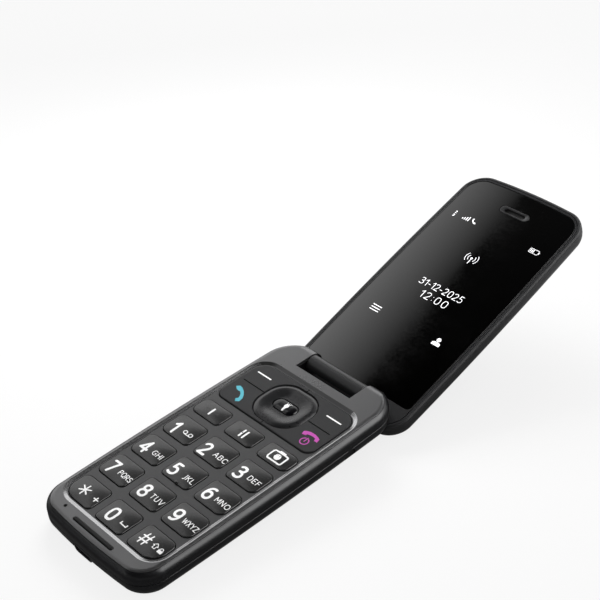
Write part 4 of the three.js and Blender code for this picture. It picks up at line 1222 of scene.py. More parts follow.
@dataclass
class Keypad:
    """Fifteen pillow-shaped press keys with their legends."""

    grid: KeyGrid
    peak: float = 10.12
    crown: float = 0.42
    lip_low: float = 8.05
    lip_high: float = 8.45
    lip: float = 0.4
    clearance: float = 0.3
    edge_round: float = 0.15
    wall_step: float = 0.08
    side_pieces: int = 10
    pillow_rings: int = 18
    pillow_reach: float = 0.95
    pip_size: float = 1.1
    pip_place: Point = (1.3, -70.4)
    pip_top: float = 10.2
    pip_round: float = 0.2
    figure_height: float = 5.6
    figure_pen: float = 0.9
    letter_height: float = 2.1
    letter_pen: float = 0.27
    centres: dict[str, tuple[Point, Point]] = field(default_factory=lambda: {
        "1": ((-18.64, -54.5), (-12.9, -54.0)), "2": ((-3.5, -54.5), (3.2, -54.2)),
        "3": ((12.6, -54.1), (18.7, -53.9)), "4": ((-18.3, -66.7), (-12.4, -66.75)),
        "5": ((-3.5, -66.8), (3.5, -67.0)), "6": ((12.5, -66.5), (18.9, -66.75)),
        "7": ((-18.6, -79.5), (-12.2, -79.6)), "8": ((-2.8, -79.2), (3.1, -79.2)),
        "9": ((12.55, -79.1), (18.75, -79.1)), "star": ((-16.5, -91.9), (-10.75, -91.9)),
        "0": ((-1.95, -92.0), (3.9, -92.0)), "hash": ((13.3, -91.55), (17.8, -91.5))})
    words: dict[str, str] = field(default_factory=lambda: {
        "2": "ABC", "3": "DEF", "4": "GHI", "5": "JKL", "6": "MNO", "7": "PQRS", "8": "TUV",
        "9": "WXYZ"})

    def key(self, hole: KeyHole) -> Solid:
        """Return one key: a lip under the deck, a wall, a small round and a shallow pillow."""
        run = min(hole.width, hole.height) / 2 - self.clearance
        half_x, half_y = hole.width / 2 - self.clearance, hole.height / 2 - self.clearance
        edge = self.peak - self.crown
        insets = [(-self.lip, self.lip_low), (-self.lip, self.lip_high),
                  (self.clearance, self.lip_high + self.wall_step)]
        insets += [(self.clearance + inset, edge - rise)
                   for inset, rise in reversed(quarter(self.edge_round, 4)[1:])]
        places = [(x, y, z) for inset, z in insets
                  for x, y in hole.outline(-inset, along=self.side_pieces)]
        first = self.edge_round / run
        for ring in range(self.pillow_rings + 1):
            share = first + (self.pillow_reach - first) * ring / self.pillow_rings
            softest = 0.4 + 0.55 * (run * (1 - share)) * share
            for x, y in hole.outline(-self.clearance - run * share, softest,
                                     along=self.side_pieces):
                rise = (1 - ((x - hole.x) / half_x) ** 2) * (1 - ((y - hole.y) / half_y) ** 2)
                places.append((x, y, edge + self.crown * rise))
        rings = len(insets) + self.pillow_rings + 1
        return Solid.skin(places, len(places) // rings, rings)

    def legend(self, name: str) -> Pen:
        """Return the drawing on one key."""
        pen = Pen()
        label = name.removeprefix("key_")
        if name == "memory_key_1":
            pen.stroke([(-15.5, -40.5), (-15.5, -43.2)], 0.75)
        elif name == "memory_key_2":
            pen.stroke([(-0.45, -40.4), (-0.45, -43.4)], 0.7)
            pen.stroke([(1.05, -40.4), (1.05, -43.4)], 0.7)
        elif name == "camera_key":
            self.camera(pen, 16.1, -41.9)
        else:
            first, second = self.centres[label]
            if label == "star":
                pen.text("*", first, 5.0, 0.5)
                pen.text("+", second, 2.8, 0.42)
            elif label == "hash":
                pen.text("#", first, 4.9, 0.52)
                self.shift_and_lock(pen, *second)
            else:
                pen.text(label, first, self.figure_height, self.figure_pen, squeeze=0.92)
                self.beside_figure(pen, label, second)
        return pen

    def beside_figure(self, pen: Pen, label: str, place: Point) -> None:
        """Draw the letters or the sign beside a figure."""
        if label == "1":
            self.voice_mail(pen, *place)
        elif label == "0":
            pen.path(GLYPHS["_"], place[0] - 1.2, place[1] - 0.8, 2.7, 0.4)
        else:
            space, squeeze = (0.22, 0.9) if len(self.words[label]) > 3 else (0.32, 1.1)
            pen.text(self.words[label], place, self.letter_height, self.letter_pen, space, squeeze)

    @staticmethod
    def camera(pen: Pen, x: float, y: float) -> None:
        """Draw the camera sign."""
        w, h, r = 3.0, 2.0, 0.7
        body = moved(rounded(w, h, [r] * 4, 4), x, y)
        pen.stroke([*body, body[0]], 0.6)
        pen.stroke([(x - 1.0, y + h + 0.45), (x + 1.0, y + h + 0.45)], 0.7)
        pen.disc(x, y - 0.05, 1.25)

    @staticmethod
    def voice_mail(pen: Pen, x: float, y: float) -> None:
        """Draw the voice mail sign: two loops on a line."""
        for side in (-1, 1):
            loop = arc((x + side * 1.2, y), 0.68, 20)
            pen.stroke([*loop, loop[0]], 0.32)
        pen.stroke([(x - 1.2, y - 0.7), (x + 1.2, y - 0.7)], 0.32)

    @staticmethod
    def shift_and_lock(pen: Pen, x: float, y: float) -> None:
        """Draw the shift arrow and the lock beside it."""
        arrow = [(0.0, 1.2), (1.0, 0.15), (0.5, 0.15), (0.5, -0.9), (-0.5, -0.9), (-0.5, 0.15),
                 (-1.0, 0.15)]
        closed = [(x + px, y + py) for px, py in (*arrow, arrow[0])]
        for first, second in zip(closed, closed[1:]):
            pen.stroke([first, second], 0.24)
        left = x + 2.5
        pen.fill(moved([(-0.85, -1.05), (0.85, -1.05), (0.85, 0.1), (-0.85, 0.1)], left, y))
        pen.stroke([(left + 0.52 * math.cos(a), y + 0.3 + 0.6 * math.sin(a))
                    for a in (math.pi * k / 8 for k in range(9))], 0.26)

    def build(self, shop: Workshop) -> None:
        """Set every key and its legend in place."""
        for hole in self.grid.keys():
            body = f"{hole.name}_body"
            shape = self.key(hole)
            shop.piece(f"{hole.name}_cap", shape, Half.BASE, Look.KEY, body, [hole.name], 50.0)
            sheet = self.legend(hole.name).sheet(shape, self.peak)
            shop.piece(f"{hole.name}_legend", sheet, Half.BASE, Look.INK, body)
            if hole.name == "key_5":
                rings = edge_over(self.pip_outline, 0.0, self.pip_top, self.pip_round, 5)
                shop.piece("key_5_pip", Solid.loft(rings), Half.BASE, Look.KEY, body)

    def pip_outline(self, grow: float) -> Outline:
        """Return the outline of the raised mark under the 5."""
        size = self.pip_size + 2 * grow
        return moved(pill(size, size, 6), *self.pip_place)


@dataclass
class FunctionKeys:
    """The two rocking keys, the direction ring and the middle key."""

    grid: KeyGrid
    top: float = 9.9
    round_over: float = 0.35
    clearance: float = 0.3
    groove_width: float = 0.45
    groove_depth: float = 0.4
    groove_reach: Point = (8.4, 20.45)
    lip_low: float = 8.05
    lip_high: float = 8.45
    lip: float = 0.4
    split: float = 0.3
    ring_size: Point = (20.6, 19.0)
    ring_corner: float = 8.0
    ring_band: float = 1.9
    ring_peak: float = 10.2
    ring_edge: float = 9.65
    plate_low: float = 8.75
    dish_drop: float = 0.75
    ok_size: Point = (9.6, 5.0)
    ok_corner: float = 2.4
    ok_top: float = 10.0
    ok_rise: float = 0.8
    ok_run: float = 2.35
    ok_power: float = 2.2
    dish_share: float = 0.86
    bore_top: float = 9.55
    bore_bevel: float = 0.12
    mouth_low: float = 9.68
    power_sign: Point = (16.75, -31.15)

    def outline(self, size: Point, corner: float, grow: float) -> Outline:
        """Return a rounded outline round the middle of the function block."""
        shape = rounded(size[0] / 2 + grow, size[1] / 2 + grow, [corner + grow] * 4, 20)
        return moved(shape, 0.0, self.grid.block_y)

    def ring_outline(self, grow: float) -> Outline:
        """Return the ring's outline, grown or drawn in."""
        return self.outline(self.ring_size, self.ring_corner, grow)

    def ok_outline(self, grow: float) -> Outline:
        """Return the middle key's outline, grown or drawn in."""
        return self.outline(self.ok_size, self.ok_corner, grow)

    def rocker(self, side: int) -> Solid:
        """Return one rocking key, with its groove."""
        hole = self.grid.block()
        outline = partial(hole.outline, steps=20)
        rings = [(outline(-self.clearance), self.lip_low)]
        rings += edge_over(outline, -self.clearance, self.top, self.round_over, 8)
        near, far = self.groove_reach
        groove = moved(pill(far - near, self.groove_width), side * (near + far) / 2,
                       self.grid.block_y)
        reach = sorted((side * self.split / 2, side * FAR))
        room = self.ring_outline(self.clearance / 2)
        mouth = self.ring_outline(self.clearance / 2 + FINE_GAP)
        opening = [(room, 0.0), (room, self.top - FINE_GAP), (mouth, self.top), (mouth, FAR)]
        key = Solid.loft(rings).add(Solid.prism(hole.outline(self.lip), self.lip_low,
                                                self.lip_high))
        key = key.cut(Solid.loft(opening), Solid.prism(groove, self.top - self.groove_depth, FAR))
        return key.within(Solid.slab((reach[0], reach[1]), (-FAR, FAR), 0.0, FAR))

    def ring(self) -> Solid:
        """Return the direction ring: a sloping band, a soft ridge and a dish."""
        run = (self.ring_size[1] - self.ok_size[1]) / 2 - self.ring_band - PART_GAP
        wall = self.ring_outline(-FINE_GAP)
        rings: list[Ring] = [(wall, self.plate_low), (wall, self.ring_edge - FINE_GAP)]
        rings += edge_over(self.ring_outline, -FINE_GAP, self.ring_edge, FINE_GAP, 4)[:-1]
        for step in range(1, 9):
            share = step / 8
            rise = math.sin(share * math.pi / 2) ** 0.9
            rings.append((self.ring_outline(-PART_GAP - (self.ring_band - PART_GAP) * share),
                          self.ring_edge + (self.ring_peak - self.ring_edge) * rise))
        for step in range(1, 17):
            share = step / 16
            fall = share ** 2 * (3 - 2 * share)
            rings.append((self.ring_outline(-self.ring_band - run * self.dish_share * share),
                          self.ring_peak - self.dish_drop * fall))
        bore, mouth = self.ok_outline(PART_GAP), self.ok_outline(PART_GAP + self.bore_bevel)
        hole = [(bore, 0.0), (bore, self.bore_top), (mouth, self.mouth_low), (mouth, FAR)]
        return Solid.loft(rings).cut(Solid.loft(hole))

    def middle_key(self) -> Solid:
        """Return the glossy middle key."""
        foot, edge = self.ok_outline(0.0), self.ok_top - self.ok_rise
        rings: list[Ring] = [(foot, self.lip_low), (foot, edge)]
        for step in range(1, 21):
            share = (step / 20) ** 1.5 * 0.96
            rise = (1 - (1 - share) ** self.ok_power) ** (1 / self.ok_power)
            rings.append((self.ok_outline(-self.ok_run * share), edge + self.ok_rise * rise))
        return Solid.loft(rings)

    def torch(self) -> Pen:
        """Return the torch sign: a tapered handle, a head and three rays."""
        pen = Pen(0.3)
        x, y = 0.45, self.grid.block_y
        for start, end, width in ((-1.85, -0.5, 0.72), (-0.75, 0.0, 1.0), (-0.05, 0.35, 1.55)):
            pen.stroke([(x, y + start), (x, y + end)], width)
        for lean in (-1, 0, 1):
            pen.stroke([(x + 0.6 * lean, y + 1.1), (x + 0.95 * lean, y + 1.85)], 0.2)
        return pen

    def signs(self, side: int) -> dict[Look, Pen]:
        """Return the drawings on one rocking key, by finish."""
        white, colour = Pen(), Pen()
        x, y, half = side * 16.5, -17.9, 3.05
        white.stroke([(x - half, y), (x + half, y)], 0.55)
        colour.fill(CALL_SIGN if side < 0 else END_SIGN)
        if side > 0:
            x, y = self.power_sign
            opened = arc((x, y), 1.45, 24, math.radians(112), math.radians(316))
            colour.stroke(opened, 0.38)
            colour.stroke([(x, y - 0.1), (x, y + 1.75)], 0.38)
        return {Look.INK: white, (Look.CALL_INK if side < 0 else Look.END_INK): colour}

    def build(self, shop: Workshop) -> None:
        """Set both rocking keys, the ring and the middle key in place."""
        for side, word in ((-1, "left"), (1, "right")):
            node = f"{word}_function_key"
            shape = self.rocker(side)
            shop.piece(f"{word}_rocking_key", shape, Half.BASE, Look.PAD, f"{node}_body", [node])
            for look, pen in self.signs(side).items():
                shop.piece(f"{word}_{look.value.name}", pen.sheet(shape, self.top), Half.BASE, look,
                           f"{node}_body")
        shop.piece("direction_ring", self.ring(), Half.BASE, Look.RING, "nav_ring_body",
                   ["nav_ring"], 50.0)
        middle = self.middle_key()
        torch = self.torch().sheet(middle, self.ok_top, 0.05)
        shop.piece("middle_key", middle, Half.BASE, Look.OK_KEY, "ok_key_body", ["ok_key"], 50.0)
        shop.piece("middle_key_torch", torch, Half.BASE, Look.INK, "ok_key_body")


@dataclass
class LidShell:
    """The lid: its inner frame, the outer cover and the hinge knuckle."""

    casing: Casing
    face: float = 5.65
    thickness: float = 7.8
    rim_round: float = 1.2
    outer_round: float = 5.0
    wall: float = 1.2
    frame_depth: float = 3.2
    glass_half_width: float = 24.7
    glass_near: float = -6.8
    glass_far: float = -102.3
    glass_corners: tuple[float, float, float, float] = (6.3, 1.8, 1.8, 6.3)
    glass_drop: float = 0.1
    glass_thickness: float = 1.1
    lcd_half: Point = (22.0, 29.4)
    lcd_y: float = -57.9
    earpiece_y: float = -93.65
    window_y: float = -17.1
    window_size: Point = (12.2, 21.3)
    trim: float = 0.85
    edge_round: float = 0.12
    room_round: float = 1.35
    receiver_half: Point = (6.3, 3.3)
    receiver_corner: float = 1.2
    knuckle_round: float = 0.35
    knuckle_radius: float = 3.0
    knuckle_offset: float = 0.57
    knuckle_gap: float = 0.35
    knuckle_reach: float = 4.85
    pin_radius: float = 1.1
    pin_entry: float = 3.4
    flex_width: float = 12.0
    flex_thickness: float = 0.25

    @property
    def back(self) -> float:
        """The outer face's height above the hinge line."""
        return self.face + self.thickness

    def glass_outline(self, grow: float) -> Outline:
        """Return the glass outline: like the casing's, but straight beside the hinge."""
        middle = self.casing.middle_y
        shape = rounded(self.glass_half_width + grow, (self.glass_near - self.glass_far) / 2 + grow,
                        [radius + grow for radius in self.glass_corners], 16, 12, 8)
        bent = []
        for x, y in moved(shape, 0.0, (self.glass_near + self.glass_far) / 2 - middle):
            crowned_x, crowned_y = self.casing.crowned(x, y)
            bent.append((crowned_x, y + middle if y > 0 else crowned_y))
        return bent

    def window_outline(self, grow: float) -> Outline:
        """Return the camera window's outline."""
        width, height = self.window_size
        return moved(pill(width + 2 * grow, height + 2 * grow, 24), 0.0, self.window_y)

    def knuckle_profile(self, grow: float, top: float) -> Outline:
        """Return the knuckle seen from the side."""
        radius = self.knuckle_radius + grow
        middle = (-self.knuckle_offset, self.knuckle_radius - self.knuckle_reach)
        points = arc(middle, radius, 32, math.pi, math.pi)
        return points + [(middle[0] + radius, top), (middle[0] - radius, top)]

    def flex_room(self, grow: float) -> Solid:
        """Return the room of the ribbon through the knuckle."""
        half = self.flex_width / 2 + grow
        middle = -self.pin_radius - self.knuckle_offset / 2
        thick = self.flex_thickness / 2 + grow
        return Solid.slab((-half, half), (middle - thick, middle + thick),
                          -grow - self.flex_thickness,
                          self.face + self.frame_depth + PART_GAP + grow)

    def knuckle(self) -> Solid:
        """Return the knuckle with its softened ends."""
        half = self.casing.notch_width / 2 - self.knuckle_gap
        top = self.face + self.frame_depth - PART_GAP
        bore, depth = self.pin_radius + PART_GAP, self.pin_entry + PART_GAP
        soft = quarter(self.knuckle_round, 5)
        steps = [(-half + inset, rise) for rise, inset in soft]
        steps += [(half - inset, rise) for rise, inset in reversed(soft)]
        places = [(x, y, z) for x, rise in steps for y, z in self.knuckle_profile(-rise, top)]
        body = Solid.skin(places, len(places) // len(steps), len(steps))
        return body.cut(Solid.axle(bore, -FAR, -half + depth, 0.0),
                        Solid.axle(bore, half - depth, FAR, 0.0), self.flex_room(FINE_GAP))

    def frame(self) -> Solid:
        """Return the inner face of the lid."""
        casing = self.casing
        half = casing.notch_width / 2 - self.knuckle_gap + PART_GAP
        floor = self.face + self.glass_drop + self.glass_thickness + PART_GAP
        ledge = rounded(self.lcd_half[0] + PART_GAP, self.lcd_half[1] + PART_GAP, [FINE_GAP] * 4, 3)
        receiver = rounded(*self.receiver_half, [self.receiver_corner] * 4, 6)
        mouth, wall = self.glass_outline(FINE_GAP + self.edge_round), self.glass_outline(FINE_GAP)
        seat = [(mouth, -FAR), (mouth, self.face), (wall, self.face + self.edge_round),
                (wall, floor)]
        rings = [(casing.lid_outline(casing.plate_inset + inset), self.face + rise)
                 for inset, rise in quarter(FINE_GAP, 4)]
        rings += [(casing.lid_outline(casing.plate_inset), self.face + self.frame_depth)]
        return Solid.loft(rings).cut(Solid.loft(seat),
                                     Solid.prism(moved(ledge, 0.0, self.lcd_y), 0.0, FAR),
                                     Solid.prism(moved(receiver, 0.0, self.earpiece_y), 0.0, FAR),
                                     Solid.across(self.knuckle_profile(PART_GAP, FAR), -half, half))

    def cover(self) -> Solid:
        """Return the outer cover."""
        casing = self.casing
        skin = casing.rounded_body(0.0, self.face, self.back, self.rim_round, self.outer_round,
                                   casing.corner)
        room = casing.rounded_body(self.wall, self.face, self.back, self.room_round,
                                   self.outer_round,
                                   casing.corner)
        edge = casing.lid_outline(casing.plate_inset - 0.35)
        mouth = casing.lid_outline(casing.plate_inset - 0.2)
        lip = Solid.loft([(edge, -FAR), (edge, self.face), (mouth, self.face + FINE_GAP),
                          (mouth, self.face + self.frame_depth + PART_GAP)])
        window = Solid.prism(self.window_outline(self.trim + FINE_GAP), 0.0, FAR)
        return skin.cut(room.add(lip), window)

    def build(self, shop: Workshop) -> None:
        """Set the frame, the cover and the knuckle in place."""
        shop.pieces(Half.LID, (
            ("lid_inner_frame", self.frame(), Look.LID_FRAME, "lid_frame"),
            ("lid_outer_cover", self.cover(), Look.COVER, "lid_cover"),
            ("lid_knuckle", self.knuckle(), Look.KNUCKLE, "hinge_knuckle")))


@dataclass
class Display:
    """The black glass with its earpiece, and what the screen shows."""

    lid: LidShell
    earpiece: Point = (13.0, 3.6)
    slot: Point = (9.0, 1.9)
    rim_drop: float = 0.35
    handset_middle: Point = (-16.25, -30.0)
    handset_scale: float = 0.36

    @property
    def low(self) -> float:
        """The height of the glass face."""
        return self.lid.face + self.lid.glass_drop

    def earpiece_outline(self, size: Point, grow: float) -> Outline:
        """Return a slot shape at the earpiece."""
        return moved(pill(size[0] + 2 * grow, size[1] + 2 * grow, 16), 0.0, self.lid.earpiece_y)

    def glass(self) -> Solid:
        """Return the glass with its polished edge."""
        rings = [(self.lid.glass_outline(-inset), self.low + rise)
                 for inset, rise in quarter(self.lid.edge_round, 4)]
        rings.append((self.lid.glass_outline(0.0), self.low + self.lid.glass_thickness))
        return Solid.loft(rings).cut(Solid.prism(self.earpiece_outline(self.earpiece, 0.0), 0.0,
                                                 FAR))

    def grille(self) -> Solid:
        """Return the bevelled surround of the sound slot."""
        mouth = self.earpiece_outline(self.earpiece, -FINE_GAP - self.rim_drop)
        slot = self.earpiece_outline(self.slot, 0.0)
        rings = [(self.earpiece_outline(self.earpiece, -FINE_GAP - inset), self.low + rise)
                 for inset, rise in quarter(FINE_GAP, 4)]
        rings.append((self.earpiece_outline(self.earpiece, -FINE_GAP),
                      self.low + self.lid.glass_thickness))
        bevel = Solid.loft([(mouth, self.low - self.rim_drop), (mouth, self.low),
                            (slot, self.low + self.rim_drop)])
        return Solid.loft(rings).cut(bevel, Solid.prism(slot, 0.0, FAR))

    def screen(self) -> Pen:
        """Return the drawing on the screen: status signs, date, time and soft key signs."""
        pen = Pen(1.5)
        for bar in range(4):
            x = -15.6 + bar * 0.85
            pen.stroke([(x, -82.5), (x, -82.9 - 0.45 * bar)], 0.42)
        for word, place in (("2", (-19.6, -83.9)), ("3", (-19.6, -82.3))):
            pen.text(word, place, 1.2, 0.22, turned=-1)
        (sign_x, sign_y), scale = self.handset_middle, self.handset_scale
        pen.fill([(-10.6 - scale * (x - sign_x), -83.4 + scale * (y - sign_y))
                  for x, y in CALL_SIGN])
        case = moved(rounded(1.9, 0.95, [0.25] * 4, 3), 17.4, -82.6)
        pen.stroke([*case, case[0]], 0.18)
        for bar in range(3):
            pen.stroke([(16.05 + 0.6 * bar, -83.1), (16.05 + 0.6 * bar, -82.1)], 0.34)
        pen.stroke([(19.6, -82.9), (19.6, -82.3)], 0.3)
        pen.text("31-12-2025", (0.0, -52.3), 3.0, 0.27, space=0.26, squeeze=0.9, turned=-1)
        pen.text("12:00", (0.4, -47.7), 3.2, 0.28, space=0.42, turned=-1)
        self.mast(pen, 0.0, -68.2)
        for row in range(3):
            pen.stroke([(-17.2, -35.0 + 1.1 * row), (-13.4, -35.0 + 1.1 * row)], 0.36)
        pen.fill(arc((13.9, -34.7), 0.85, 24))
        pen.fill([(14.8, -33.7), (13.0, -33.7), (12.2, -33.3), (12.2, -32.2), (15.6, -32.2),
                  (15.6, -33.3)])
        return pen

    @staticmethod
    def mast(pen: Pen, x: float, y: float) -> None:
        """Draw the network sign: a mast with two waves on each side."""
        pen.stroke([(x, y - 0.9), (x, y + 1.7)], 0.3)
        pen.disc(x, y - 0.9, 0.45)
        for side in (-1, 1):
            for radius in (1.5, 2.6):
                turn = math.radians(-42) if side > 0 else math.radians(222)
                pen.stroke(arc((x, y - 0.9), radius, 8, turn, side * math.radians(84)), 0.26)

    def build(self, shop: Workshop) -> None:
        """Set the glass, the earpiece and the lit signs in place."""
        signs = self.screen().sheet(None, self.low, 0.015, -1)
        shop.pieces(Half.LID, (
            ("display_glass_face", self.glass(), Look.GLASS, "display_glass"),
            ("earpiece_surround", self.grille(), Look.TRIM, "earpiece_grille"),
            ("screen_signs", signs, Look.SCREEN, None)))


@dataclass
class CameraWindow:
    """The camera window on the outer cover: glass pill, trim, two bright rings, lens and flash."""

    lid: LidShell
    glass_thickness: float = 1.0
    trim_rise: float = 0.15
    pitch: float = 9.15
    ring_radius: float = 3.55
    ring_bore: float = 2.87
    ring_rise: float = 0.12
    lens_drop: float = 0.15
    edge_round: float = 0.15
    trim_round: float = 0.3

    @property
    def foot(self) -> float:
        """The height that the window's pieces stand on."""
        return self.lid.back - self.glass_thickness

    def glass(self) -> Solid:
        """Return the black pill with its two bores."""
        rings = [(self.lid.window_outline(0.0), self.foot)]
        rings += edge_over(self.lid.window_outline, 0.0, self.lid.back, self.edge_round, 4)
        bores = [Solid.post(0.0, self.lid.window_y + side * self.pitch / 2,
                            self.ring_radius + FINE_GAP,
                            0.0, FAR, 64) for side in (-1, 1)]
        return Solid.loft(rings).cut(*bores)

    def surround(self) -> Solid:
        """Return the raised trim."""
        outline, back, trim = self.lid.window_outline, self.lid.back, self.lid.trim
        rings = [(outline(trim), self.foot)]
        rings += edge_over(outline, trim, back + self.trim_rise, self.trim_round, 6)
        wall, mouth = outline(FINE_GAP), outline(2 * FINE_GAP)
        hole = [(wall, 0.0), (wall, back), (mouth, back + FINE_GAP), (mouth, FAR)]
        return Solid.loft(rings).cut(Solid.loft(hole))

    @staticmethod
    def turned(profile: list[Point], y: float, sides: int = 64) -> Solid:
        """Turn a profile of (radius, height) about an upright line at (0, y)."""
        places = [(px, py, z) for radius, z in profile for px, py in arc((0.0, y), radius, sides)]
        return Solid.skin(places, sides, len(profile))

    def ring(self, y: float) -> Solid:
        """Return one bright ring with softened edges."""
        low, high = self.foot, self.lid.back + self.ring_rise
        radius, bore = self.ring_radius, self.ring_bore
        outer = self.turned([(radius, low), (radius, high - 0.1), (radius - 0.1, high)], y)
        hole = self.turned([(bore, low - 1.0), (bore, high - 0.14), (bore + 0.2, high + 0.06),
                            (bore + 0.2, high + 1.0)], y)
        return outer.cut(hole)

    def lens(self, y: float) -> Solid:
        """Return the stepped lens cover."""
        radius, high = self.ring_bore - FINE_GAP, self.lid.back - self.lens_drop
        bowl = self.turned([(1.03, high - 0.15), (1.78, high + 0.15)], y)
        return self.turned([(radius, self.foot), (radius, high)], y).cut(bowl)

    def flash(self, y: float) -> Solid:
        """Return the flash diffuser."""
        radius, high = self.ring_bore - FINE_GAP, self.lid.back - self.lens_drop
        return self.turned([(radius, self.foot), (radius, high - 0.15), (1.6, high - 0.15),
                            (1.6, high - 0.05), (1.5, high), (0.8, high)], y)

    def build(self, shop: Workshop) -> None:
        """Set the window and what it holds in place."""
        near, far = self.lid.window_y + self.pitch / 2, self.lid.window_y - self.pitch / 2
        shop.pieces(Half.LID, (
            ("camera_window_glass", self.glass(), Look.GLASS, "camera_window"),
            ("camera_window_surround", self.surround(), Look.TRIM, "window_trim"),
            ("camera_bright_ring", self.ring(near), Look.STEEL, "camera_ring"),
            ("flash_bright_ring", self.ring(far), Look.STEEL, "flash_ring"),
            ("camera_lens_cover", self.lens(near), Look.LENS, "camera_lens"),
            ("flash_diffuser", self.flash(far), Look.LED, "flash_led")))


@dataclass
class InnerParts:
    """The CAD nodes inside that keep their shape and get a finish."""

    looks: dict[Look, str] = field(default_factory=lambda: {
        Look.SILICONE: "keypad_mat nav_pad",
        Look.BOARD: "main_board charging_board lid_board",
        Look.STEEL: "microphone vibration_motor sim_holder hinge_module hinge_pin "
                    "screw_1 screw_2 screw_3 screw_4",
        Look.CASED: "loudspeaker receiver camera_module",
        Look.CELL: "battery", Look.PORT: "usb_socket", Look.PANEL: "lcd_module",
        Look.FILM: "hinge_flex"})

    def build(self, shop: Workshop) -> None:
        """Dress every node that stays."""
        for look, nodes in self.looks.items():
            for node in nodes.split():
                shop.dress(node, look)


WINDOW_WAY = (0.825, -0.158, 0.543)
BACK_LEFT_WAY = (-0.57, 0.82, 0.0)
BACK_WAY = (0.0, 1.0, 0.0)
UP = (0.0, 0.0, 1.0)


@dataclass(frozen=True)
class Slope:
    """A soft step along a direction, from one share of it to another."""

    towards: tuple[float, float, float]
    start: float
    end: float
    low: float
    high: float
    kind: str = "SMOOTHSTEP"

    @property
    def limits(self) -> tuple[float, ...]:
        """What it is carried from and to."""
        return self.start, self.end, self.low, self.high


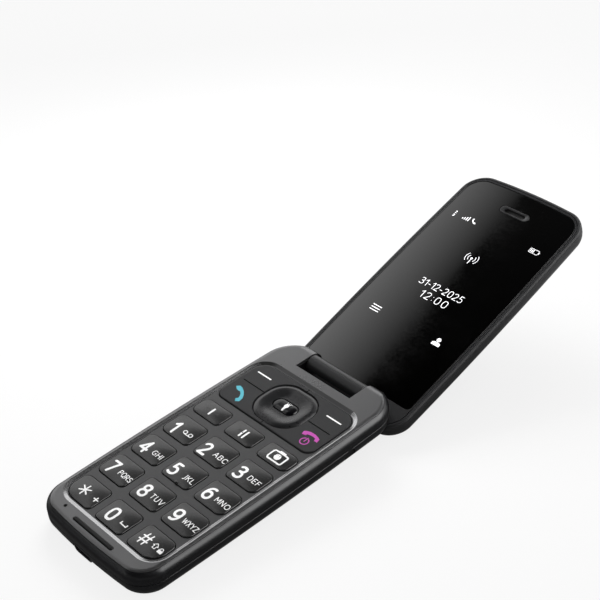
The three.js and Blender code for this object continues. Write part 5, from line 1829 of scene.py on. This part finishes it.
@dataclass
class Studio:
    """Floor, backdrop, lamps, the graded canopy that gloss mirrors, and the camera."""

    lens: float = 81.057
    camera_in_base: tuple[float, float, float] = (258.2493, -234.8543, 294.6740)
    camera_turn: tuple[float, float, float] = (56.8996, 0.4846, 46.8302)
    floor_size: float = 6.0
    room_level: float = 0.34
    floor_white: float = 0.82
    canopy_radius: float = 2.6
    canopy_low: float = 2.0
    canopy_high: float = 89.0
    canopy_rings: int = 24
    canopy_sides: int = 96
    mat_radius: float = 0.5
    mat_height: float = 0.0002
    mat_fade: Slope = Slope((0.0, 0.0, 0.0), 0.12, 0.5, 0.12, 1.0)
    mat_pale_side: Slope = Slope((-0.71, 0.70, 0.0), 0.0, 0.07, 0.0, 0.95)
    window: tuple[Slope, ...] = (Slope(WINDOW_WAY, -0.08, -0.002, 3.4, 0.2, "LINEAR"),
                                 Slope(WINDOW_WAY, -0.006, 0.0, 1.0, 0.0),
                                 Slope(WINDOW_WAY, -0.13, -0.088, 0.05, 1.0),
                                 Slope(BACK_WAY, 0.19, 0.27, 1.0, 0.0))
    horizon: tuple[Slope, ...] = (Slope(UP, 0.42, 0.70, 1.0, 0.0), Slope(UP, 0.0, 0.42, 0.5, 1.0),
                                  Slope(BACK_LEFT_WAY, -0.1, 0.65, 0.0, 2.0))
    back_left: tuple[Slope, ...] = (Slope(WINDOW_WAY, -0.26, -0.14, 2.2, 0.1),
                                    Slope(UP, 0.5, 0.62, 0.0, 1.0),
                                    Slope(BACK_LEFT_WAY, 0.3, 0.6, 0.0, 1.0))
    side_window: tuple[Slope, ...] = (Slope((0.62, 0.52, 0.588), 0.82, 0.98, 0.0, 9.0),)

    @staticmethod
    def seen_white(tree: bpy.types.NodeTree) -> Socket:
        """Return 1 for rays of the camera, of gloss and of glass, else 0."""
        rays = tree.nodes.new("ShaderNodeLightPath").outputs
        seen = combine(tree, "MAXIMUM", rays["Is Camera Ray"], rays["Is Glossy Ray"])
        return combine(tree, "MAXIMUM", seen, rays["Is Transmission Ray"])

    def floor_material(self) -> bpy.types.Material:
        """Return the pale floor: white to the camera and in gloss, and it keeps the shadow."""
        made = bpy.data.materials.new("floor_white")
        made.use_nodes = True
        nodes, links = made.node_tree.nodes, made.node_tree.links
        shader = nodes["Principled BSDF"]
        shader.inputs["Base Color"].default_value = (0.9, 0.9, 0.9, 1.0)
        shader.inputs["Roughness"].default_value = 0.9
        shader.inputs["Specular IOR Level"].default_value = 0.1
        glow = nodes.new("ShaderNodeEmission")
        share = combine(made.node_tree, "MULTIPLY", self.seen_white(made.node_tree),
                        self.floor_white)
        mix = nodes.new("ShaderNodeMixShader")
        links.new(share, mix.inputs["Fac"])
        links.new(shader.outputs["BSDF"], mix.inputs[1])
        links.new(glow.outputs["Emission"], mix.inputs[2])
        links.new(mix.outputs["Shader"], nodes["Material Output"].inputs["Surface"])
        return made

    def world(self) -> None:
        """Light the room softly, white where the camera and gloss look."""
        room = bpy.data.worlds.new("studio_room")
        bpy.context.scene.world = room
        room.use_nodes = True
        tree = room.node_tree
        background = tree.nodes["Background"].inputs
        strength = carried(tree, self.seen_white(tree), (0.0, 1.0, self.room_level, 1.0))
        tree.links.new(strength, background["Strength"])
        background["Color"].default_value = (1.0, 1.0, 1.0, 1.0)

    def floor(self) -> None:
        """Lay the pale floor."""
        half = self.floor_size / 2
        corners = [(-half, -half, 0.0), (half, -half, 0.0), (half, half, 0.0), (-half, half, 0.0)]
        mesh = mesh_of("studio_floor", corners, [(0, 1, 2, 3)])
        mesh.materials.append(self.floor_material())
        linked("studio_floor", mesh)

    @staticmethod
    def glowing(name: str, glow: Callable[[bpy.types.NodeTree, Socket],
                                          Socket]) -> bpy.types.Material:
        """Return a material that only glows, by a strength worked out from the place on it."""
        made = bpy.data.materials.new(name)
        made.use_nodes = True
        tree = made.node_tree
        tree.nodes.remove(tree.nodes["Principled BSDF"])
        light = tree.nodes.new("ShaderNodeEmission")
        place = tree.nodes.new("ShaderNodeTexCoord").outputs["Object"]
        tree.links.new(glow(tree, place), light.inputs["Strength"])
        tree.links.new(light.outputs["Emission"], tree.nodes["Material Output"].inputs["Surface"])
        return made

    @staticmethod
    def vector(tree: bpy.types.NodeTree, operation: str, value: Socket, output: str,
               second: Place | None = None) -> Socket:
        """Return a vector worked with a fixed one, or by itself."""
        node = tree.nodes.new("ShaderNodeVectorMath")
        node.operation = operation
        tree.links.new(value, node.inputs[0])
        if second:
            node.inputs[1].default_value = second
        return node.outputs[output]

    def stepped(self, tree: bpy.types.NodeTree, way: Socket, slope: Slope) -> Socket:
        """Return how far along a slope a direction lies."""
        along = self.vector(tree, "DOT_PRODUCT", way, "Value", slope.towards)
        return carried(tree, along, slope.limits, slope.kind)

    def canopy_glow(self, tree: bpy.types.NodeTree, place: Socket) -> Socket:
        """Return the brightest of the canopy's fields, each a product of slopes."""
        way = self.vector(tree, "NORMALIZE", place, "Vector")
        fields = []
        for slopes in (self.window, self.horizon, self.back_left, self.side_window):
            steps = [self.stepped(tree, way, slope) for slope in slopes]
            fields.append(reduce(partial(combine, tree, "MULTIPLY"), steps))
        return reduce(partial(combine, tree, "MAXIMUM"), fields)

    def mat_glow(self, tree: bpy.types.NodeTree, place: Socket) -> Socket:
        """Return the mat's glow: black under the phone as painted shade in gloss, white at its rim
        and on its pale side.
        """
        reach = self.vector(tree, "LENGTH", place, "Value")
        faded = carried(tree, reach, self.mat_fade.limits, self.mat_fade.kind)
        return combine(tree, "MAXIMUM", faded, self.stepped(tree, place, self.mat_pale_side))

    def mat(self) -> None:
        """Lay a round mat that only gloss sees; its black middle is painted shade for the floor
        round the phone.
        """
        places = [(x, y, 0.0) for x, y in arc((0.0, 0.0), self.mat_radius, self.canopy_sides)]
        mesh = mesh_of("studio_mat", places, [tuple(range(self.canopy_sides))])
        mesh.materials.append(self.glowing("mat_graded", self.mat_glow))
        thing = linked("studio_mat", mesh)
        thing.location.z = self.mat_height
        self.for_gloss(thing)

    @staticmethod
    def for_gloss(thing: bpy.types.Object) -> None:
        """Stage a thing that only gloss sees."""
        thing.visible_camera = thing.visible_diffuse = False
        thing.visible_shadow = thing.visible_transmission = False

    def canopy(self) -> None:
        """Hang the canopy round the table, which only gloss sees."""
        places = []
        for ring in range(self.canopy_rings):
            rise = math.radians(self.canopy_low + (self.canopy_high - self.canopy_low) * ring
                                / (self.canopy_rings - 1))
            around = arc((0.0, 0.0), self.canopy_radius * math.cos(rise), self.canopy_sides)
            places += [(x, y, self.canopy_radius * math.sin(rise)) for x, y in around]
        shell = Solid.skin(places, self.canopy_sides, self.canopy_rings).mesh
        faces = [tuple(polygon.vertices) for polygon in shell.polygons][1:]
        mesh = mesh_of("studio_canopy", places, faces)
        mesh.materials.append(self.glowing("canopy_graded", self.canopy_glow))
        self.for_gloss(linked("studio_canopy", mesh))

    @staticmethod
    def lamp(name: str, place: Vector, power: float, size: Point,
             aim: Vector = Vector((0.0, 0.0, 0.0))) -> None:
        """Hang a soft box that faces a point and that gloss doesn't show.

        Args:
            name: The lamp's name.
            place: Where it hangs.
            power: Its power in watts.
            size: Its two sides.
            aim: The point that it faces.
        """
        light = bpy.data.lights.new(name, "AREA")
        light.shape = "RECTANGLE"
        light.size, light.size_y = size
        light.energy = power
        thing = linked(name, light)
        thing.location = place
        thing.rotation_euler = (aim - place).to_track_quat("-Z", "Y").to_euler()
        thing.visible_glossy = False

    def camera(self, stand: Stand) -> None:
        """Set the camera where the photograph was taken from."""
        view = bpy.data.cameras.new("studio_camera")
        view.lens = self.lens
        view.clip_start = 0.01
        thing = linked("studio_camera", view)
        thing.location = stand.base() @ Vector(self.camera_in_base)
        thing.rotation_euler = [math.radians(angle) for angle in self.camera_turn]
        bpy.context.scene.camera = thing

    def build(self, shop: Workshop) -> None:
        """Set up the whole studio."""
        bpy.context.scene.view_settings.view_transform = "Standard"
        self.world()
        self.floor()
        self.canopy()
        self.mat()
        self.camera(shop.stand)
        self.lamp("soft_box_back_left", Vector((-0.55, 0.6, 0.75)), 4.0, (0.7, 0.6),
                  Vector((0.0, 0.05, 0.0)))
        self.lamp("soft_box_near", Vector((-0.16, 0.1, 0.17)), 0.5, (0.16, 0.12),
                  Vector((0.0, 0.0, 0.01)))
        self.lamp("soft_box_front", Vector((0.5, -0.7, 0.8)), 2.0, (0.6, 0.6))
        log.info("studio: set up")


def main() -> None:
    """Build the phone, sub-assembly by sub-assembly, and the studio round it."""
    logging.basicConfig(level=logging.INFO, format="%(name)s %(message)s", stream=sys.stdout)
    shop = Workshop()
    casing = Casing()
    grid = KeyGrid(casing)
    fascia = Fascia(casing, grid)
    lid = LidShell(casing)
    parts = (fascia, BackShell(casing, fascia), Keypad(grid), FunctionKeys(grid), lid, Display(lid),
             CameraWindow(lid), InnerParts(), Studio())
    for part in parts:
        log.info("building %s", type(part).__name__)
        part.build(shop)


if __name__ == "__main__":
    main()
